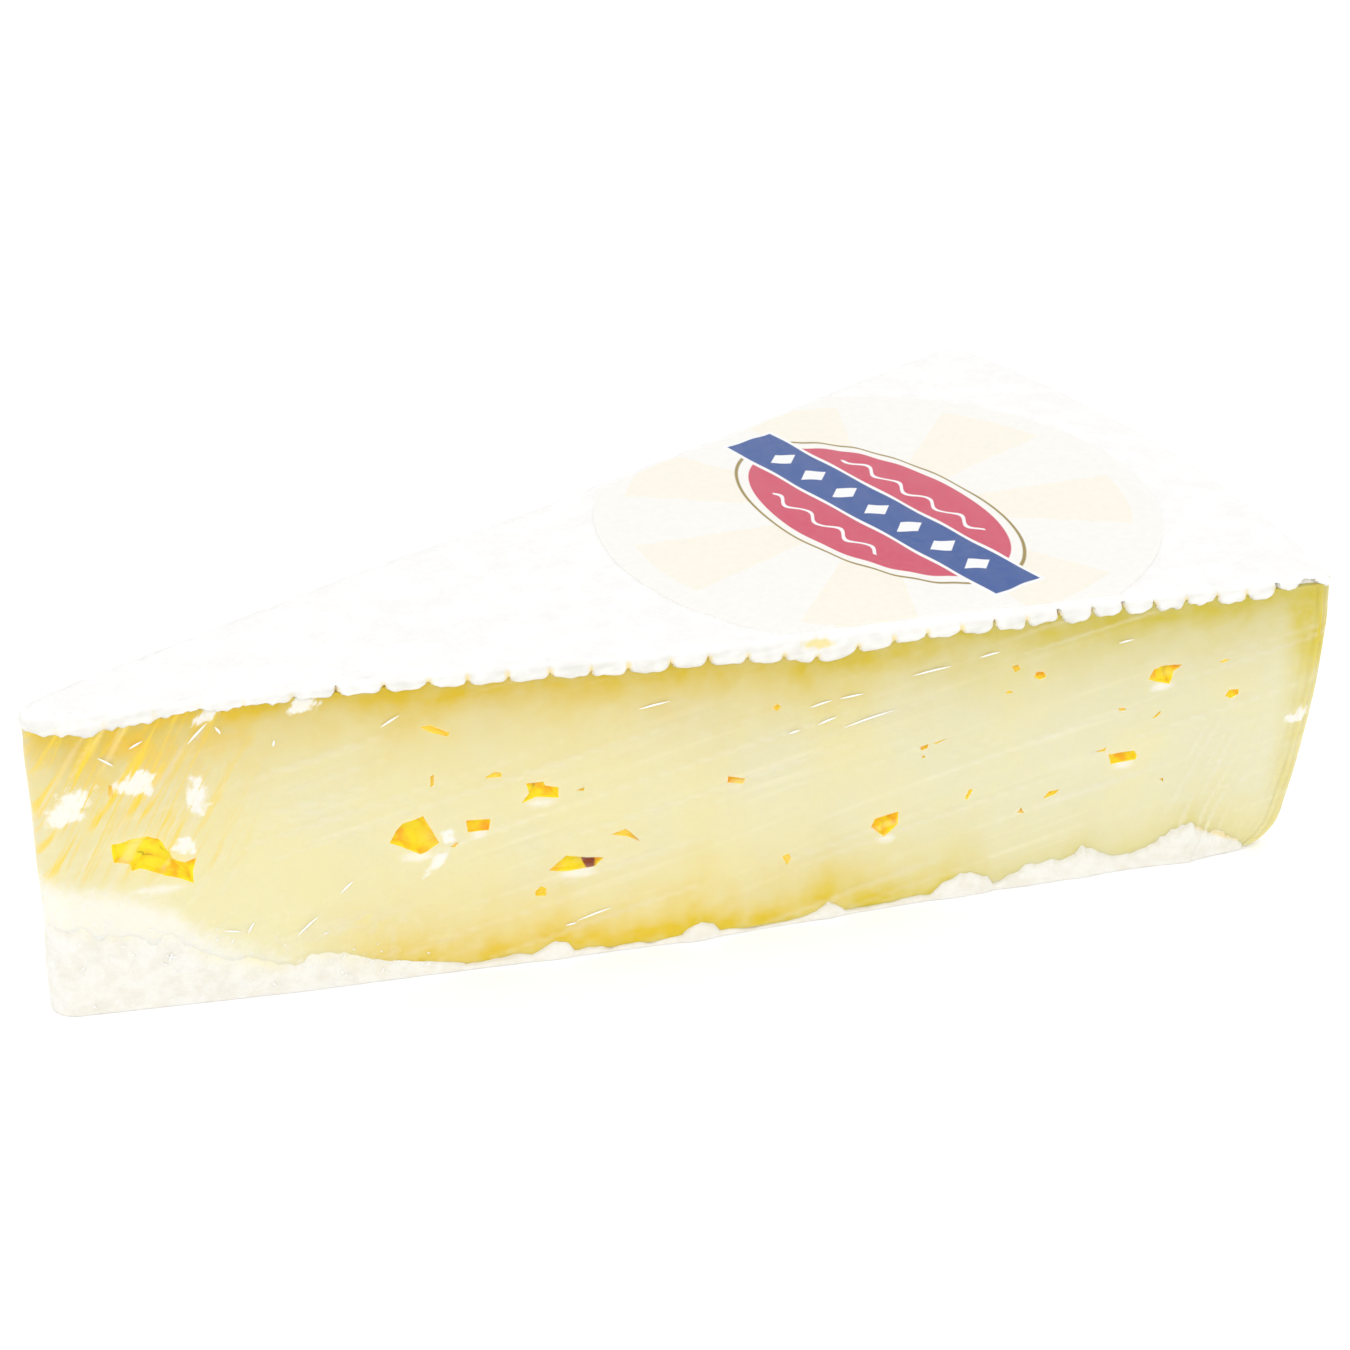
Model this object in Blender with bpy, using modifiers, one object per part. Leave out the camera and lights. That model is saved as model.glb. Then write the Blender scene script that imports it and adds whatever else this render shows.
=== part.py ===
"""A wedge of brie in tight clear cling film, with a round paper sticker on its top.

Metres, +Z up. The tip points along -X and the heel, which is the wheel's rim, along +X.
The origin is at the bottom centre of the wedge's box, so the wedge stands on z = 0.
The front cut face looks towards -Y and the back cut face towards +Y.
"""

import math
import random

import bmesh
import bpy
from mathutils import Matrix, Vector

MM = 0.001

# The wheel that the wedge was cut from
WHEEL_RADIUS = 156.6 * MM
WHEEL_HEIGHT = 37 * MM
WEDGE_ANGLE = math.radians(29.4)
WHEEL_STEPS = 144
TOP_ROUND = 1.6 * MM
BOTTOM_ROUND = 5.5 * MM
BELLY_HEIGHT = 30 * MM
BELLY_DRAW_IN = 2.7 * MM

# The wedge's plan
NOSE_RADIUS = 2.8 * MM
HEEL_CORNER_RADIUS = 2.5 * MM
PLAN_PAST_RIM = 0.4 * MM
CUT_EDGE_ROUND = 0.7 * MM
WELD_DISTANCE = 0.05 * MM
CAP_WELD = 0.001 * MM

# The rind's cut edge: a lip of scallops, one for each rib of the draining mat
RIB_PITCH = 4.15 * MM
LIP_START = 12 * MM
LIP_END = 147 * MM
LIP_HEIGHT = 3.1 * MM
LIP_PROUD = 0.45 * MM
LIP_ROOT = 1.1 * MM
LIP_ROUND = 0.25 * MM
LIP_TOP_DROP = 0.3 * MM
NOTCH_HEIGHT = 1.2 * MM
SCALLOP_UNEVENNESS = 0.3 * MM
RUMPLED_END = 45 * MM
RUMPLE = 0.7 * MM
SCALLOP_POINTS = 6

# The bottom rind that the knife dragged up over the tip
SMEAR_PROUD = 0.4 * MM
SMEAR_END = 55 * MM
SMEAR_FALL = 26 * MM
SMEAR_FALL_WIDTH = 7 * MM
SMEAR_POINTS = 20
SMEAR_HEIGHTS = {-1: 16.5 * MM, 1: 13.0 * MM}
FLOOR_CLEARANCE = 0.2 * MM

# The sticker
STICKER_RADIUS = 34.1 * MM
STICKER_FROM_CENTRE = 114.4 * MM
STICKER_THICKNESS = 0.3 * MM
STICKER_EDGE_MARGIN = 1.6 * MM
TOUCH_GAP = 0.3 * MM

# Worked out from the sizes above
HALF_ANGLE = WEDGE_ANGLE / 2
NOSE_CENTRE = NOSE_RADIUS / math.sin(HALF_ANGLE)
TIP_FROM_CENTRE = NOSE_CENTRE - NOSE_RADIUS - SMEAR_PROUD
WHEEL_CENTRE = Vector((-(TIP_FROM_CENTRE + WHEEL_RADIUS) / 2, 0, 0))
FRONT = -1
BACK = 1
VIEW_DEPTH = 80 * MM
MIDDLE_OVERLAP = 0.5 * MM

# Eyes of the front face: place along the face from the wheel's centre, height, width,
# height of the eye, slant in degrees and depth, all in millimetres
FRONT_EYES = (
    (18.6, 19.6, 5.6, 4.4, 10, 2.6),
    (23.0, 17.9, 4.6, 2.4, -16, 2.0),
    (51.4, 30.7, 3.4, 0.9, -14, 1.0),
    (48.6, 18.3, 5.4, 4.6, -30, 3.4),
    (55.9, 18.3, 3.0, 1.9, 4, 1.8),
    (57.9, 24.0, 2.4, 0.9, 28, 0.9),
    (61.6, 21.6, 2.8, 2.5, 0, 1.8),
    (64.2, 21.0, 2.8, 1.9, 6, 1.6),
    (66.9, 11.9, 6.2, 1.9, 12, 2.6),
    (62.5, 8.7, 1.4, 1.3, 0, 1.0),
    (72.5, 14.5, 3.8, 1.3, 10, 0.8),
    (85.6, 19.8, 2.6, 1.2, 0, 1.2),
    (90.1, 28.3, 1.2, 1.0, 0, 0.8),
    (103.4, 11.1, 3.5, 3.3, 35, 2.6),
    (107.8, 20.7, 1.5, 1.2, 10, 1.0),
    (113.6, 13.7, 1.9, 0.8, 50, 0.8),
    (118.3, 29.7, 1.3, 1.0, 0, 0.8),
    (121.3, 28.3, 1.9, 1.2, 10, 1.2),
    (124.0, 12.0, 2.4, 1.0, 14, 0.9),
    (129.2, 16.9, 2.3, 0.9, 26, 0.9),
    (132.6, 15.9, 3.6, 1.6, 22, 1.6),
    (131.7, 22.4, 1.2, 0.9, 0, 0.7),
    (136.2, 21.1, 1.2, 0.9, 35, 0.7),
    (136.4, 26.4, 3.0, 2.6, 25, 2.4),
    (145.7, 22.7, 2.1, 1.5, 20, 1.2),
)
BACK_EYE_COUNT = 24
BACK_EYE_WIDTHS = (1.2 * MM, 5.4 * MM)
BACK_EYE_SPACING = 8 * MM
EYE_UNEVENNESS = 0.2
EYE_OUT = 0.17 * MM
LARGE_EYE = 2.5 * MM

# Lumps of rind along the foot of the front face: place, height of the middle, half sizes, in millimetres
FRONT_LUMPS = (
    (63.8, 1.5, 2.2, 1.3),
    (69.5, 0.9, 2.6, 0.8),
    (81.6, 1.7, 2.4, 1.5),
    (97.9, 1.9, 2.4, 1.6),
    (112.8, 1.9, 3.9, 1.7),
    (125.3, 2.2, 4.2, 2.0),
)
BACK_LUMP_COUNT = 7
BACK_LUMP_START = 60 * MM
BACK_LUMP_SPACING = 12.5 * MM
LUMP_PROUD = 0.6 * MM
LUMP_ROOT = 0.4 * MM

# The flap of rind that turns up over the front face beside the heel
HEEL_FLAP = ((119, 0.5), (129, 3.3), (137, 6.4), (141.5, 7.4), (144, 6.0), (149, 1.6), (147, 0.5))
HEEL_FLAP_PROUD = 0.35 * MM
HEEL_FLAP_ROUND = 0.15 * MM

# The pinched fold in the lip of the front face
FOLD_PLACE = 96.5 * MM
FOLD_DROP = 2.2 * MM
FOLD_SLANT = 5
FOLD_HALF_SIZES = Vector((5.2, 1.5, 0.9)) * MM

PASTE_COLOUR = (0.90, 0.81, 0.48)
STICKER_COLOUR = (0.97, 0.93, 0.84)


def new_collection(name):
    """A collection of the scene."""
    collection = bpy.data.collections.new(name)
    bpy.context.scene.collection.children.link(collection)
    return collection


def new_material(name, colour, roughness):
    """A plain Principled material."""
    material = bpy.data.materials.new(name)
    material.use_nodes = True
    shader = material.node_tree.nodes["Principled BSDF"]
    shader.inputs["Base Color"].default_value = (*colour, 1)
    shader.inputs["Roughness"].default_value = roughness
    shader.inputs["Metallic"].default_value = 0
    return material


def add_object(name, data, collection):
    """An object for this mesh or curve, in this collection."""
    thing = bpy.data.objects.new(name, data)
    collection.objects.link(thing)
    return thing


def mark_as_cutter(thing):
    """Keep a cutter out of renders and draw it as lines."""
    thing.hide_render = True
    thing.display_type = "WIRE"


def apply_modifiers(thing):
    """Give the object its evaluated mesh and drop the modifiers."""
    graph = bpy.context.evaluated_depsgraph_get()
    mesh = bpy.data.meshes.new_from_object(thing.evaluated_get(graph))
    thing.modifiers.clear()
    thing.data = mesh


def clean_mesh(thing):
    """Merge the points that a Boolean left a hair apart, and join faces that lie in one plane."""
    shape = bmesh.new()
    shape.from_mesh(thing.data)
    bmesh.ops.remove_doubles(shape, verts=shape.verts, dist=WELD_DISTANCE)
    bmesh.ops.dissolve_limit(shape, angle_limit=math.radians(0.2), verts=shape.verts, edges=shape.edges)
    shape.to_mesh(thing.data)
    shape.free()


def arc_points(centre, radius, start, end, count):
    """Points of an arc in a plane, both ends included."""
    points = []
    for i in range(count):
        angle = start + (end - start) * i / (count - 1)
        points.append((centre[0] + radius * math.cos(angle), centre[1] + radius * math.sin(angle)))
    return points


def slab(name, points, thickness, edge_round, collection):
    """A flat closed outline made a solid, centred on its plane, as a mesh with welded caps."""
    curve = bpy.data.curves.new(name, "CURVE")
    curve.dimensions = "2D"
    curve.fill_mode = "BOTH"
    curve.extrude = thickness / 2 - edge_round
    curve.bevel_depth = edge_round
    curve.bevel_resolution = 0
    curve.offset = -edge_round
    spline = curve.splines.new("POLY")
    spline.points.add(len(points) - 1)
    for point, (x, y) in zip(spline.points, points):
        point.co = (x, y, 0, 1)
    spline.use_cyclic_u = True
    outline = add_object(name + "_outline", curve, collection)
    graph = bpy.context.evaluated_depsgraph_get()
    mesh = bpy.data.meshes.new_from_object(outline.evaluated_get(graph))
    bpy.data.objects.remove(outline)
    shape = bmesh.new()
    shape.from_mesh(mesh)
    bmesh.ops.remove_doubles(shape, verts=shape.verts, dist=CAP_WELD)
    bmesh.ops.recalc_face_normals(shape, faces=shape.faces)
    shape.to_mesh(mesh)
    shape.free()
    return add_object(name, mesh, collection)


def face_matrix(side, along, height, out):
    """A frame on a cut face: X along the face to the heel, Y up, its origin at this place.

    The place is given by its distance from the wheel's centre along the face, its height,
    and how far it lies outside the face.
    """
    along_axis = Vector((math.cos(HALF_ANGLE), side * math.sin(HALF_ANGLE), 0))
    up_axis = Vector((0, 0, 1))
    out_axis = Vector((-math.sin(HALF_ANGLE), side * math.cos(HALF_ANGLE), 0))
    matrix = Matrix((along_axis, up_axis, along_axis.cross(up_axis))).transposed().to_4x4()
    matrix.translation = WHEEL_CENTRE + along_axis * along + up_axis * height + out_axis * out
    return matrix


def wedge_outline(outset):
    """The wedge's plan round the wheel's centre, moved outwards by this much.

    Its heel lies a little outside the wheel, whose own rim makes the wedge's heel.
    """
    reach = WHEEL_RADIUS + outset + PLAN_PAST_RIM
    side_turn = math.pi / 2 + HALF_ANGLE
    corner_from_centre = reach - HEEL_CORNER_RADIUS
    corner_turn = HALF_ANGLE - math.asin((HEEL_CORNER_RADIUS - outset) / corner_from_centre)
    corner_x = corner_from_centre * math.cos(corner_turn)
    corner_y = corner_from_centre * math.sin(corner_turn)
    nose = arc_points((NOSE_CENTRE, 0), NOSE_RADIUS + outset, side_turn, 2 * math.pi - side_turn, 9)
    front_corner = arc_points((corner_x, -corner_y), HEEL_CORNER_RADIUS, -side_turn, -corner_turn, 7)
    heel = arc_points((0, 0), reach, -corner_turn, corner_turn, 13)
    back_corner = arc_points((corner_x, corner_y), HEEL_CORNER_RADIUS, corner_turn, side_turn, 7)
    return nose + front_corner + heel[1:-1] + back_corner


def make_wheel_profile():
    """The wheel's section from its axis over the rim and back, top to bottom.

    The rim is fullest at the belly's height and draws in below it.
    """
    side_top = WHEEL_HEIGHT - TOP_ROUND
    top_round = arc_points((WHEEL_RADIUS - TOP_ROUND, side_top), TOP_ROUND, math.pi / 2, 0, 4)
    belly = []
    for height in (BELLY_HEIGHT, 24 * MM, 18 * MM, 12 * MM):
        drop = (BELLY_HEIGHT - height) / (BELLY_HEIGHT - BOTTOM_ROUND)
        belly.append((WHEEL_RADIUS - BELLY_DRAW_IN * drop**2, height))
    foot_radius = WHEEL_RADIUS - BELLY_DRAW_IN - BOTTOM_ROUND
    foot = arc_points((foot_radius, BOTTOM_ROUND), BOTTOM_ROUND, 0, -math.pi / 2, 7)
    return [(0, WHEEL_HEIGHT), *top_round, *belly, *foot, (0, 0)]


def make_wedge_body(parts, cutters):
    """The wheel turned from its profile, cut to the wedge, with its cut edges rounded."""
    profile = bpy.data.meshes.new("brie_wedge")
    points = [(radius, 0, height) for radius, height in make_wheel_profile()]
    profile.from_pydata(points, [(i, i + 1) for i in range(len(points) - 1)], [])
    wedge = add_object("brie_wedge", profile, parts)
    wedge.location = WHEEL_CENTRE
    screw = wedge.modifiers.new("turn", "SCREW")
    screw.steps = WHEEL_STEPS
    screw.render_steps = WHEEL_STEPS
    screw.use_merge_vertices = True
    screw.merge_threshold = 0.01 * MM
    outline = slab("wedge_plan", wedge_outline(0), 2 * WHEEL_HEIGHT, 0, cutters)
    outline.location = WHEEL_CENTRE + Vector((0, 0, WHEEL_HEIGHT / 2))
    cut = wedge.modifiers.new("cut", "BOOLEAN")
    cut.operation = "INTERSECT"
    cut.object = outline
    apply_modifiers(wedge)
    clean_mesh(wedge)
    bevel = wedge.modifiers.new("soft_edges", "BEVEL")
    bevel.width = CUT_EDGE_ROUND
    bevel.segments = 2
    bevel.limit_method = "ANGLE"
    bevel.angle_limit = math.radians(50)
    apply_modifiers(wedge)
    bpy.data.objects.remove(outline)
    return wedge


def scalloped_edge(chance):
    """The lip's lower edge, from the tip to the heel, as distances down from the wheel's top."""
    points = []
    ribs = int((LIP_END - LIP_START) / RIB_PITCH)
    for rib in range(ribs):
        start = LIP_START + rib * RIB_PITCH
        drop = LIP_HEIGHT + chance.uniform(-1, 1) * SCALLOP_UNEVENNESS
        if start < RUMPLED_END:
            drop += chance.uniform(-1, 1) * RUMPLE
        for i in range(SCALLOP_POINTS):
            part = i / SCALLOP_POINTS
            swell = math.sin(math.pi * part) ** 0.4
            points.append((start + part * RIB_PITCH, drop - NOTCH_HEIGHT * (1 - swell)))
    return points


def make_lip(side, chance, relief):
    """The strip of cut rind along the top of one cut face."""
    hanging = [(along, -drop) for along, drop in scalloped_edge(chance)]
    points = [(LIP_START, -LIP_TOP_DROP), *hanging, (LIP_END, -LIP_HEIGHT / 2), (LIP_END, -LIP_TOP_DROP)]
    lip = slab("lip", points, LIP_ROOT + LIP_PROUD, LIP_ROUND, relief)
    lip.matrix_world = face_matrix(side, 0, WHEEL_HEIGHT, (LIP_PROUD - LIP_ROOT) / 2)


def smear_crest(side):
    """The dragged rind's wavy upper edge, as places from the wheel's centre and heights."""
    chance = random.Random(40 + side)
    crest = []
    for i in range(SMEAR_POINTS):
        along = SMEAR_END * i / (SMEAR_POINTS - 1)
        shoulder = 0.36 * (1 - math.tanh((along - SMEAR_FALL) / SMEAR_FALL_WIDTH))
        tail = 0.30 * (1 - along / SMEAR_END)
        crest.append((along, SMEAR_HEIGHTS[side] * (shoulder + tail) + chance.uniform(0.4, 1.3) * MM))
    return crest


def make_smear(relief):
    """A thin coat of rind round the foot of the tip, higher at the nose and wavy on top."""
    coat = slab("smear", wedge_outline(SMEAR_PROUD), WHEEL_HEIGHT, 0, relief)
    coat.location = WHEEL_CENTRE + Vector((0, 0, WHEEL_HEIGHT / 2 + FLOOR_CLEARANCE))
    masks = []
    for side in (FRONT, BACK):
        view = [(0, -WHEEL_HEIGHT), *smear_crest(side), (SMEAR_END, -WHEEL_HEIGHT)]
        mask = slab("smear_view", view, VIEW_DEPTH, 0, relief)
        mask.rotation_euler = (math.pi / 2, 0, 0)
        mask.location = WHEEL_CENTRE + Vector((0, side * (VIEW_DEPTH / 2 - MIDDLE_OVERLAP), 0))
        masks.append(mask)
    both_sides = masks[0].modifiers.new("both_sides", "BOOLEAN")
    both_sides.operation = "UNION"
    both_sides.object = masks[1]
    trim = coat.modifiers.new("trim", "BOOLEAN")
    trim.operation = "INTERSECT"
    trim.object = masks[0]
    apply_modifiers(coat)
    for mask in masks:
        bpy.data.objects.remove(mask)


def ball(name, divisions, unevenness, chance, collection):
    """A ball of radius 1 whose points are moved in and out a little."""
    shape = bmesh.new()
    bmesh.ops.create_icosphere(shape, subdivisions=divisions, radius=1)
    for vertex in shape.verts:
        vertex.co *= 1 + chance.uniform(-unevenness, unevenness)
    mesh = bpy.data.meshes.new(name)
    shape.to_mesh(mesh)
    shape.free()
    return add_object(name, mesh, collection)


def make_lump(side, along, height, half_width, half_height, chance, relief):
    """One lump of rind, half sunk in the foot of a cut face."""
    lump = ball("lump", 2, 0.12, chance, relief)
    size = Matrix.Diagonal((half_width, half_height, LUMP_PROUD + LUMP_ROOT, 1))
    clear_height = max(height, 1.15 * half_height)
    lump.matrix_world = face_matrix(side, along, clear_height, -LUMP_ROOT) @ size


def make_lumps(relief):
    """The lumps along the foot of both cut faces, and the pinched fold in the front lip."""
    chance = random.Random(7)
    for along, height, half_width, half_height in FRONT_LUMPS:
        make_lump(FRONT, along * MM, height * MM, half_width * MM, half_height * MM, chance, relief)
    for i in range(BACK_LUMP_COUNT):
        along = BACK_LUMP_START + BACK_LUMP_SPACING * (i + chance.uniform(-0.3, 0.3))
        half_width = chance.uniform(2.0, 4.0) * MM
        half_height = half_width * chance.uniform(0.45, 0.6)
        make_lump(BACK, along, half_height, half_width, half_height, chance, relief)
    fold = ball("fold", 2, 0.1, chance, relief)
    slant = Matrix.Rotation(math.radians(FOLD_SLANT), 4, "Z")
    size = Matrix.Diagonal((*FOLD_HALF_SIZES, 1))
    fold.matrix_world = face_matrix(FRONT, FOLD_PLACE, WHEEL_HEIGHT - FOLD_DROP, 0) @ slant @ size


def make_heel_flap(relief):
    """The thin flap of rind on the front face beside the heel."""
    points = [(along * MM, height * MM) for along, height in HEEL_FLAP]
    flap = slab("flap", points, LIP_ROOT + HEEL_FLAP_PROUD, HEEL_FLAP_ROUND, relief)
    flap.matrix_world = face_matrix(FRONT, 0, 0, (HEEL_FLAP_PROUD - LIP_ROOT) / 2)


def join_relief(wedge, relief):
    """Join every piece of relief to the wedge in one union, and remove the pieces."""
    union = wedge.modifiers.new("relief", "BOOLEAN")
    union.operation = "UNION"
    union.operand_type = "COLLECTION"
    union.collection = relief
    apply_modifiers(wedge)
    for piece in list(relief.objects):
        bpy.data.objects.remove(piece)
    bpy.data.collections.remove(relief)


def make_eye(side, along, height, width, tall, slant, depth, chance, eyes):
    """A cutter for one eye: an uneven ball, half outside the cut face."""
    divisions = 2 if width >= LARGE_EYE else 1
    eye = ball("eye", divisions, EYE_UNEVENNESS, chance, eyes)
    turn = Matrix.Rotation(math.radians(slant), 4, "Z")
    size = Matrix.Diagonal((width / 2, tall / 2, depth, 1))
    eye.matrix_world = face_matrix(side, along, height, EYE_OUT) @ turn @ size
    mark_as_cutter(eye)


def back_eye_places(chance):
    """Places for the back face's eyes, spread by chance and kept clear of each other."""
    places = []
    while len(places) < BACK_EYE_COUNT:
        place = Vector((chance.uniform(20, 142), chance.uniform(9, 30))) * MM
        if all((place - other).length > BACK_EYE_SPACING for other in places):
            places.append(place)
    return places


def make_eyes(eyes):
    """The cutters for the eyes of both cut faces."""
    chance = random.Random(11)
    for along, height, width, tall, slant, depth in FRONT_EYES:
        sizes = [value * MM for value in (along, height, width, tall)]
        make_eye(FRONT, *sizes, slant, depth * MM, chance, eyes)
    for along, height in back_eye_places(chance):
        low, high = BACK_EYE_WIDTHS
        width = low + (high - low) * chance.random() ** 2
        tall = width * chance.uniform(0.35, 0.9)
        depth = 0.25 * width + 0.4 * tall
        make_eye(BACK, along, height, width, tall, chance.uniform(-30, 30), depth, chance, eyes)


def make_brie(parts, cutters):
    """The cheese in its film: the wedge with its rind's relief and its eyes."""
    wedge = make_wedge_body(parts, cutters)
    relief = new_collection("relief")
    for side in (FRONT, BACK):
        make_lip(side, random.Random(20 + side), relief)
    make_smear(relief)
    make_lumps(relief)
    make_heel_flap(relief)
    join_relief(wedge, relief)
    make_eyes(cutters)
    cut = wedge.modifiers.new("eyes", "BOOLEAN")
    cut.operation = "DIFFERENCE"
    cut.operand_type = "COLLECTION"
    cut.collection = cutters
    return wedge


def make_sticker(parts):
    """The round paper sticker, trimmed where it would pass the cut edges."""
    low = WHEEL_HEIGHT + TOUCH_GAP
    mesh = bpy.data.meshes.new("label")
    shape = bmesh.new()
    bmesh.ops.create_cone(
        shape,
        cap_ends=True,
        segments=96,
        radius1=STICKER_RADIUS,
        radius2=STICKER_RADIUS,
        depth=STICKER_THICKNESS,
    )
    shape.to_mesh(mesh)
    shape.free()
    sticker = add_object("label", mesh, parts)
    sticker.location = WHEEL_CENTRE + Vector((STICKER_FROM_CENTRE, 0, low + STICKER_THICKNESS / 2))
    trim = slab("label_trim", wedge_outline(-STICKER_EDGE_MARGIN), 4 * STICKER_THICKNESS, 0, parts)
    trim.location = WHEEL_CENTRE + Vector((0, 0, low))
    cut = sticker.modifiers.new("trim", "BOOLEAN")
    cut.operation = "INTERSECT"
    cut.object = trim
    apply_modifiers(sticker)
    bpy.data.objects.remove(trim)
    return sticker


def finish(thing, material):
    """Give the object its material and smooth shading with sharp edges kept."""
    thing.data.materials.clear()
    thing.data.materials.append(material)
    thing.data.shade_smooth()
    thing.data.set_sharp_from_angle(angle=math.radians(35))


def main():
    """Build the part in an empty scene."""
    for thing in list(bpy.data.objects):
        bpy.data.objects.remove(thing)
    parts = new_collection("brie")
    cutters = new_collection("cutters")
    wedge = make_brie(parts, cutters)
    sticker = make_sticker(parts)
    finish(wedge, new_material("rind_and_paste", PASTE_COLOUR, 0.35))
    finish(sticker, new_material("sticker_paper", STICKER_COLOUR, 0.5))


main()
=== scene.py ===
"""The looks of a wedge of brie in clear cling film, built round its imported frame."""
import math
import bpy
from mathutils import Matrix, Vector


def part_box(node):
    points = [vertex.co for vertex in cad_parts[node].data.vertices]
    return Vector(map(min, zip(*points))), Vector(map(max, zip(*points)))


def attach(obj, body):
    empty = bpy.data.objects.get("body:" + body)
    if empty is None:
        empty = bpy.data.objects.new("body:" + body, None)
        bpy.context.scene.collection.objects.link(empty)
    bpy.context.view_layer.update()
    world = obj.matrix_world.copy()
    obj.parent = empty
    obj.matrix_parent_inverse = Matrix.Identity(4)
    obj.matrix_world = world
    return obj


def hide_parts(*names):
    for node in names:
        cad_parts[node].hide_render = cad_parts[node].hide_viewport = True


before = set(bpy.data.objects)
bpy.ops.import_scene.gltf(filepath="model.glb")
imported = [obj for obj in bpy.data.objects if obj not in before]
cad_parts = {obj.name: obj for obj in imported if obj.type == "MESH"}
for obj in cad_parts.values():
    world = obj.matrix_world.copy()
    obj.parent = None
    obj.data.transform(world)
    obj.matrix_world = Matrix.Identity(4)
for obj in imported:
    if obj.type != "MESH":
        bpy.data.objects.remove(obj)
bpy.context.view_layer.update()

from types import SimpleNamespace

import bmesh
import bpy
import numpy as np
from mathutils import Matrix, Vector, noise

# Sizes are in millimetres until a mesh is made. Places are taken from the wheel's centre.
MM = 0.001
WEDGE_LOW, WEDGE_HIGH = (np.array(corner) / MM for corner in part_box("brie_wedge"))
LABEL_LOW, LABEL_HIGH = (np.array(corner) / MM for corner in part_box("label"))

# The wedge's plan
HEIGHT = WEDGE_HIGH[2] - WEDGE_LOW[2]
HALF_ANGLE = math.radians(14.7)
NOSE_RADIUS = 2.8
SMEAR_PROUD = 0.4
CORNER_RADIUS = 2.5
NOSE_CENTRE = NOSE_RADIUS / math.sin(HALF_ANGLE)
CENTRE_X = WEDGE_LOW[0] - (NOSE_CENTRE - NOSE_RADIUS - SMEAR_PROUD)
WHEEL_RADIUS = WEDGE_HIGH[0] - CENTRE_X
SPINE_END = 126
CORNER_COUNT = 12
NOSE_COUNT = 22
FACE_START = NOSE_RADIUS / math.tan(HALF_ANGLE)
CORNER_CENTRE = WHEEL_RADIUS - CORNER_RADIUS
FACE_END = math.sqrt(CORNER_CENTRE**2 - CORNER_RADIUS**2)
SIDE_TURN = math.pi / 2 + HALF_ANGLE
CORNER_TURN = HALF_ANGLE - math.asin(CORNER_RADIUS / CORNER_CENTRE)
CORNER_LENGTH = CORNER_RADIUS * (SIDE_TURN - CORNER_TURN)
ALONG_FRONT = np.array((math.cos(HALF_ANGLE), -math.sin(HALF_ANGLE)))
FRONT = -1
BACK = 1
SIDES_APART = 50.0
SHARP_ANGLE = math.radians(55)
MERGE_REACH = 0.003

# The rim's belly and the soft paste, which spreads a little at the foot
BELLY_HEIGHT = 30
BELLY_DRAW_IN = 1.9
BELLY_OUT = 0.8
BELLY_OUT_HEIGHT = 24
BELLY_OUT_REACH = 20
BOTTOM_ROUND = 5.5
EDGE_ROUND = 0.12
SPREAD_PLACES = (10, 35, 58, 80, 106, 131, 154)
SPREAD_SIZES = (0.0, 1.2, 1.5, 1.9, 0.5, -0.5, -1.0)
SPREAD_TOP = 26
PULL_REACH = 14
PASTE_TOP = HEIGHT - 1.2
PASTE_LOW = 0.4
PLEAT_HEIGHT = 0.16
PLEAT_PACE = 5.2
RECESS = 0.15
RECESS_HEIGHT = 6

# The mat's ribs, finer towards the heel, and the scalloped lip of the top rind
RIB_PITCH = 5.24
RIB_SHRINK = 0.011
RIB_START = 0.209
RIB_HEIGHT = 0.12
RIB_WANDER = 0.16
RIB_WANDER_PACE = 0.21
RIB_WANDER_LINE = (3.7, 0.4)
BACK_RIBS = 90
RIND_LOW = 0.3
LIP_PLACES = (7, 12, 18, 24, 32, 40, 50, 60, 70, 80, 88, 93, 96, 99, 104, 115, 148, 152)
LIP_DROPS = (2.4, 2.8, 2.3, 1.6, 1.5, 1.4, 1.7, 2.0, 2.1, 2.2, 2.6, 3.3, 3.8, 3.0, 2.3, 2.1, 2.1, 0.8)
LIP_PROUD = 0.5
LIP_SUNK = 0.6
NOTCH_RISE = 0.85
NOTCH_SUNK = 0.3
NOTCH_POWER = 7
LIP_LEAST = 0.25
HEEL_LIP_DROP = 3.2
HEEL_LIP_PROUD = 0.12
LIP_REACH = 5.4
LIP_ROUND = 1.3
FOLD_PLACE = 96.5
FOLD_WIDTH = 4.4
FOLD_PROUD = 0.8
STAIN_PLACE = 94.6

# The paste is a little thicker from the tip to the middle
RISE = 0.9
RISE_START = 80
RISE_REACH = 34

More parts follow.
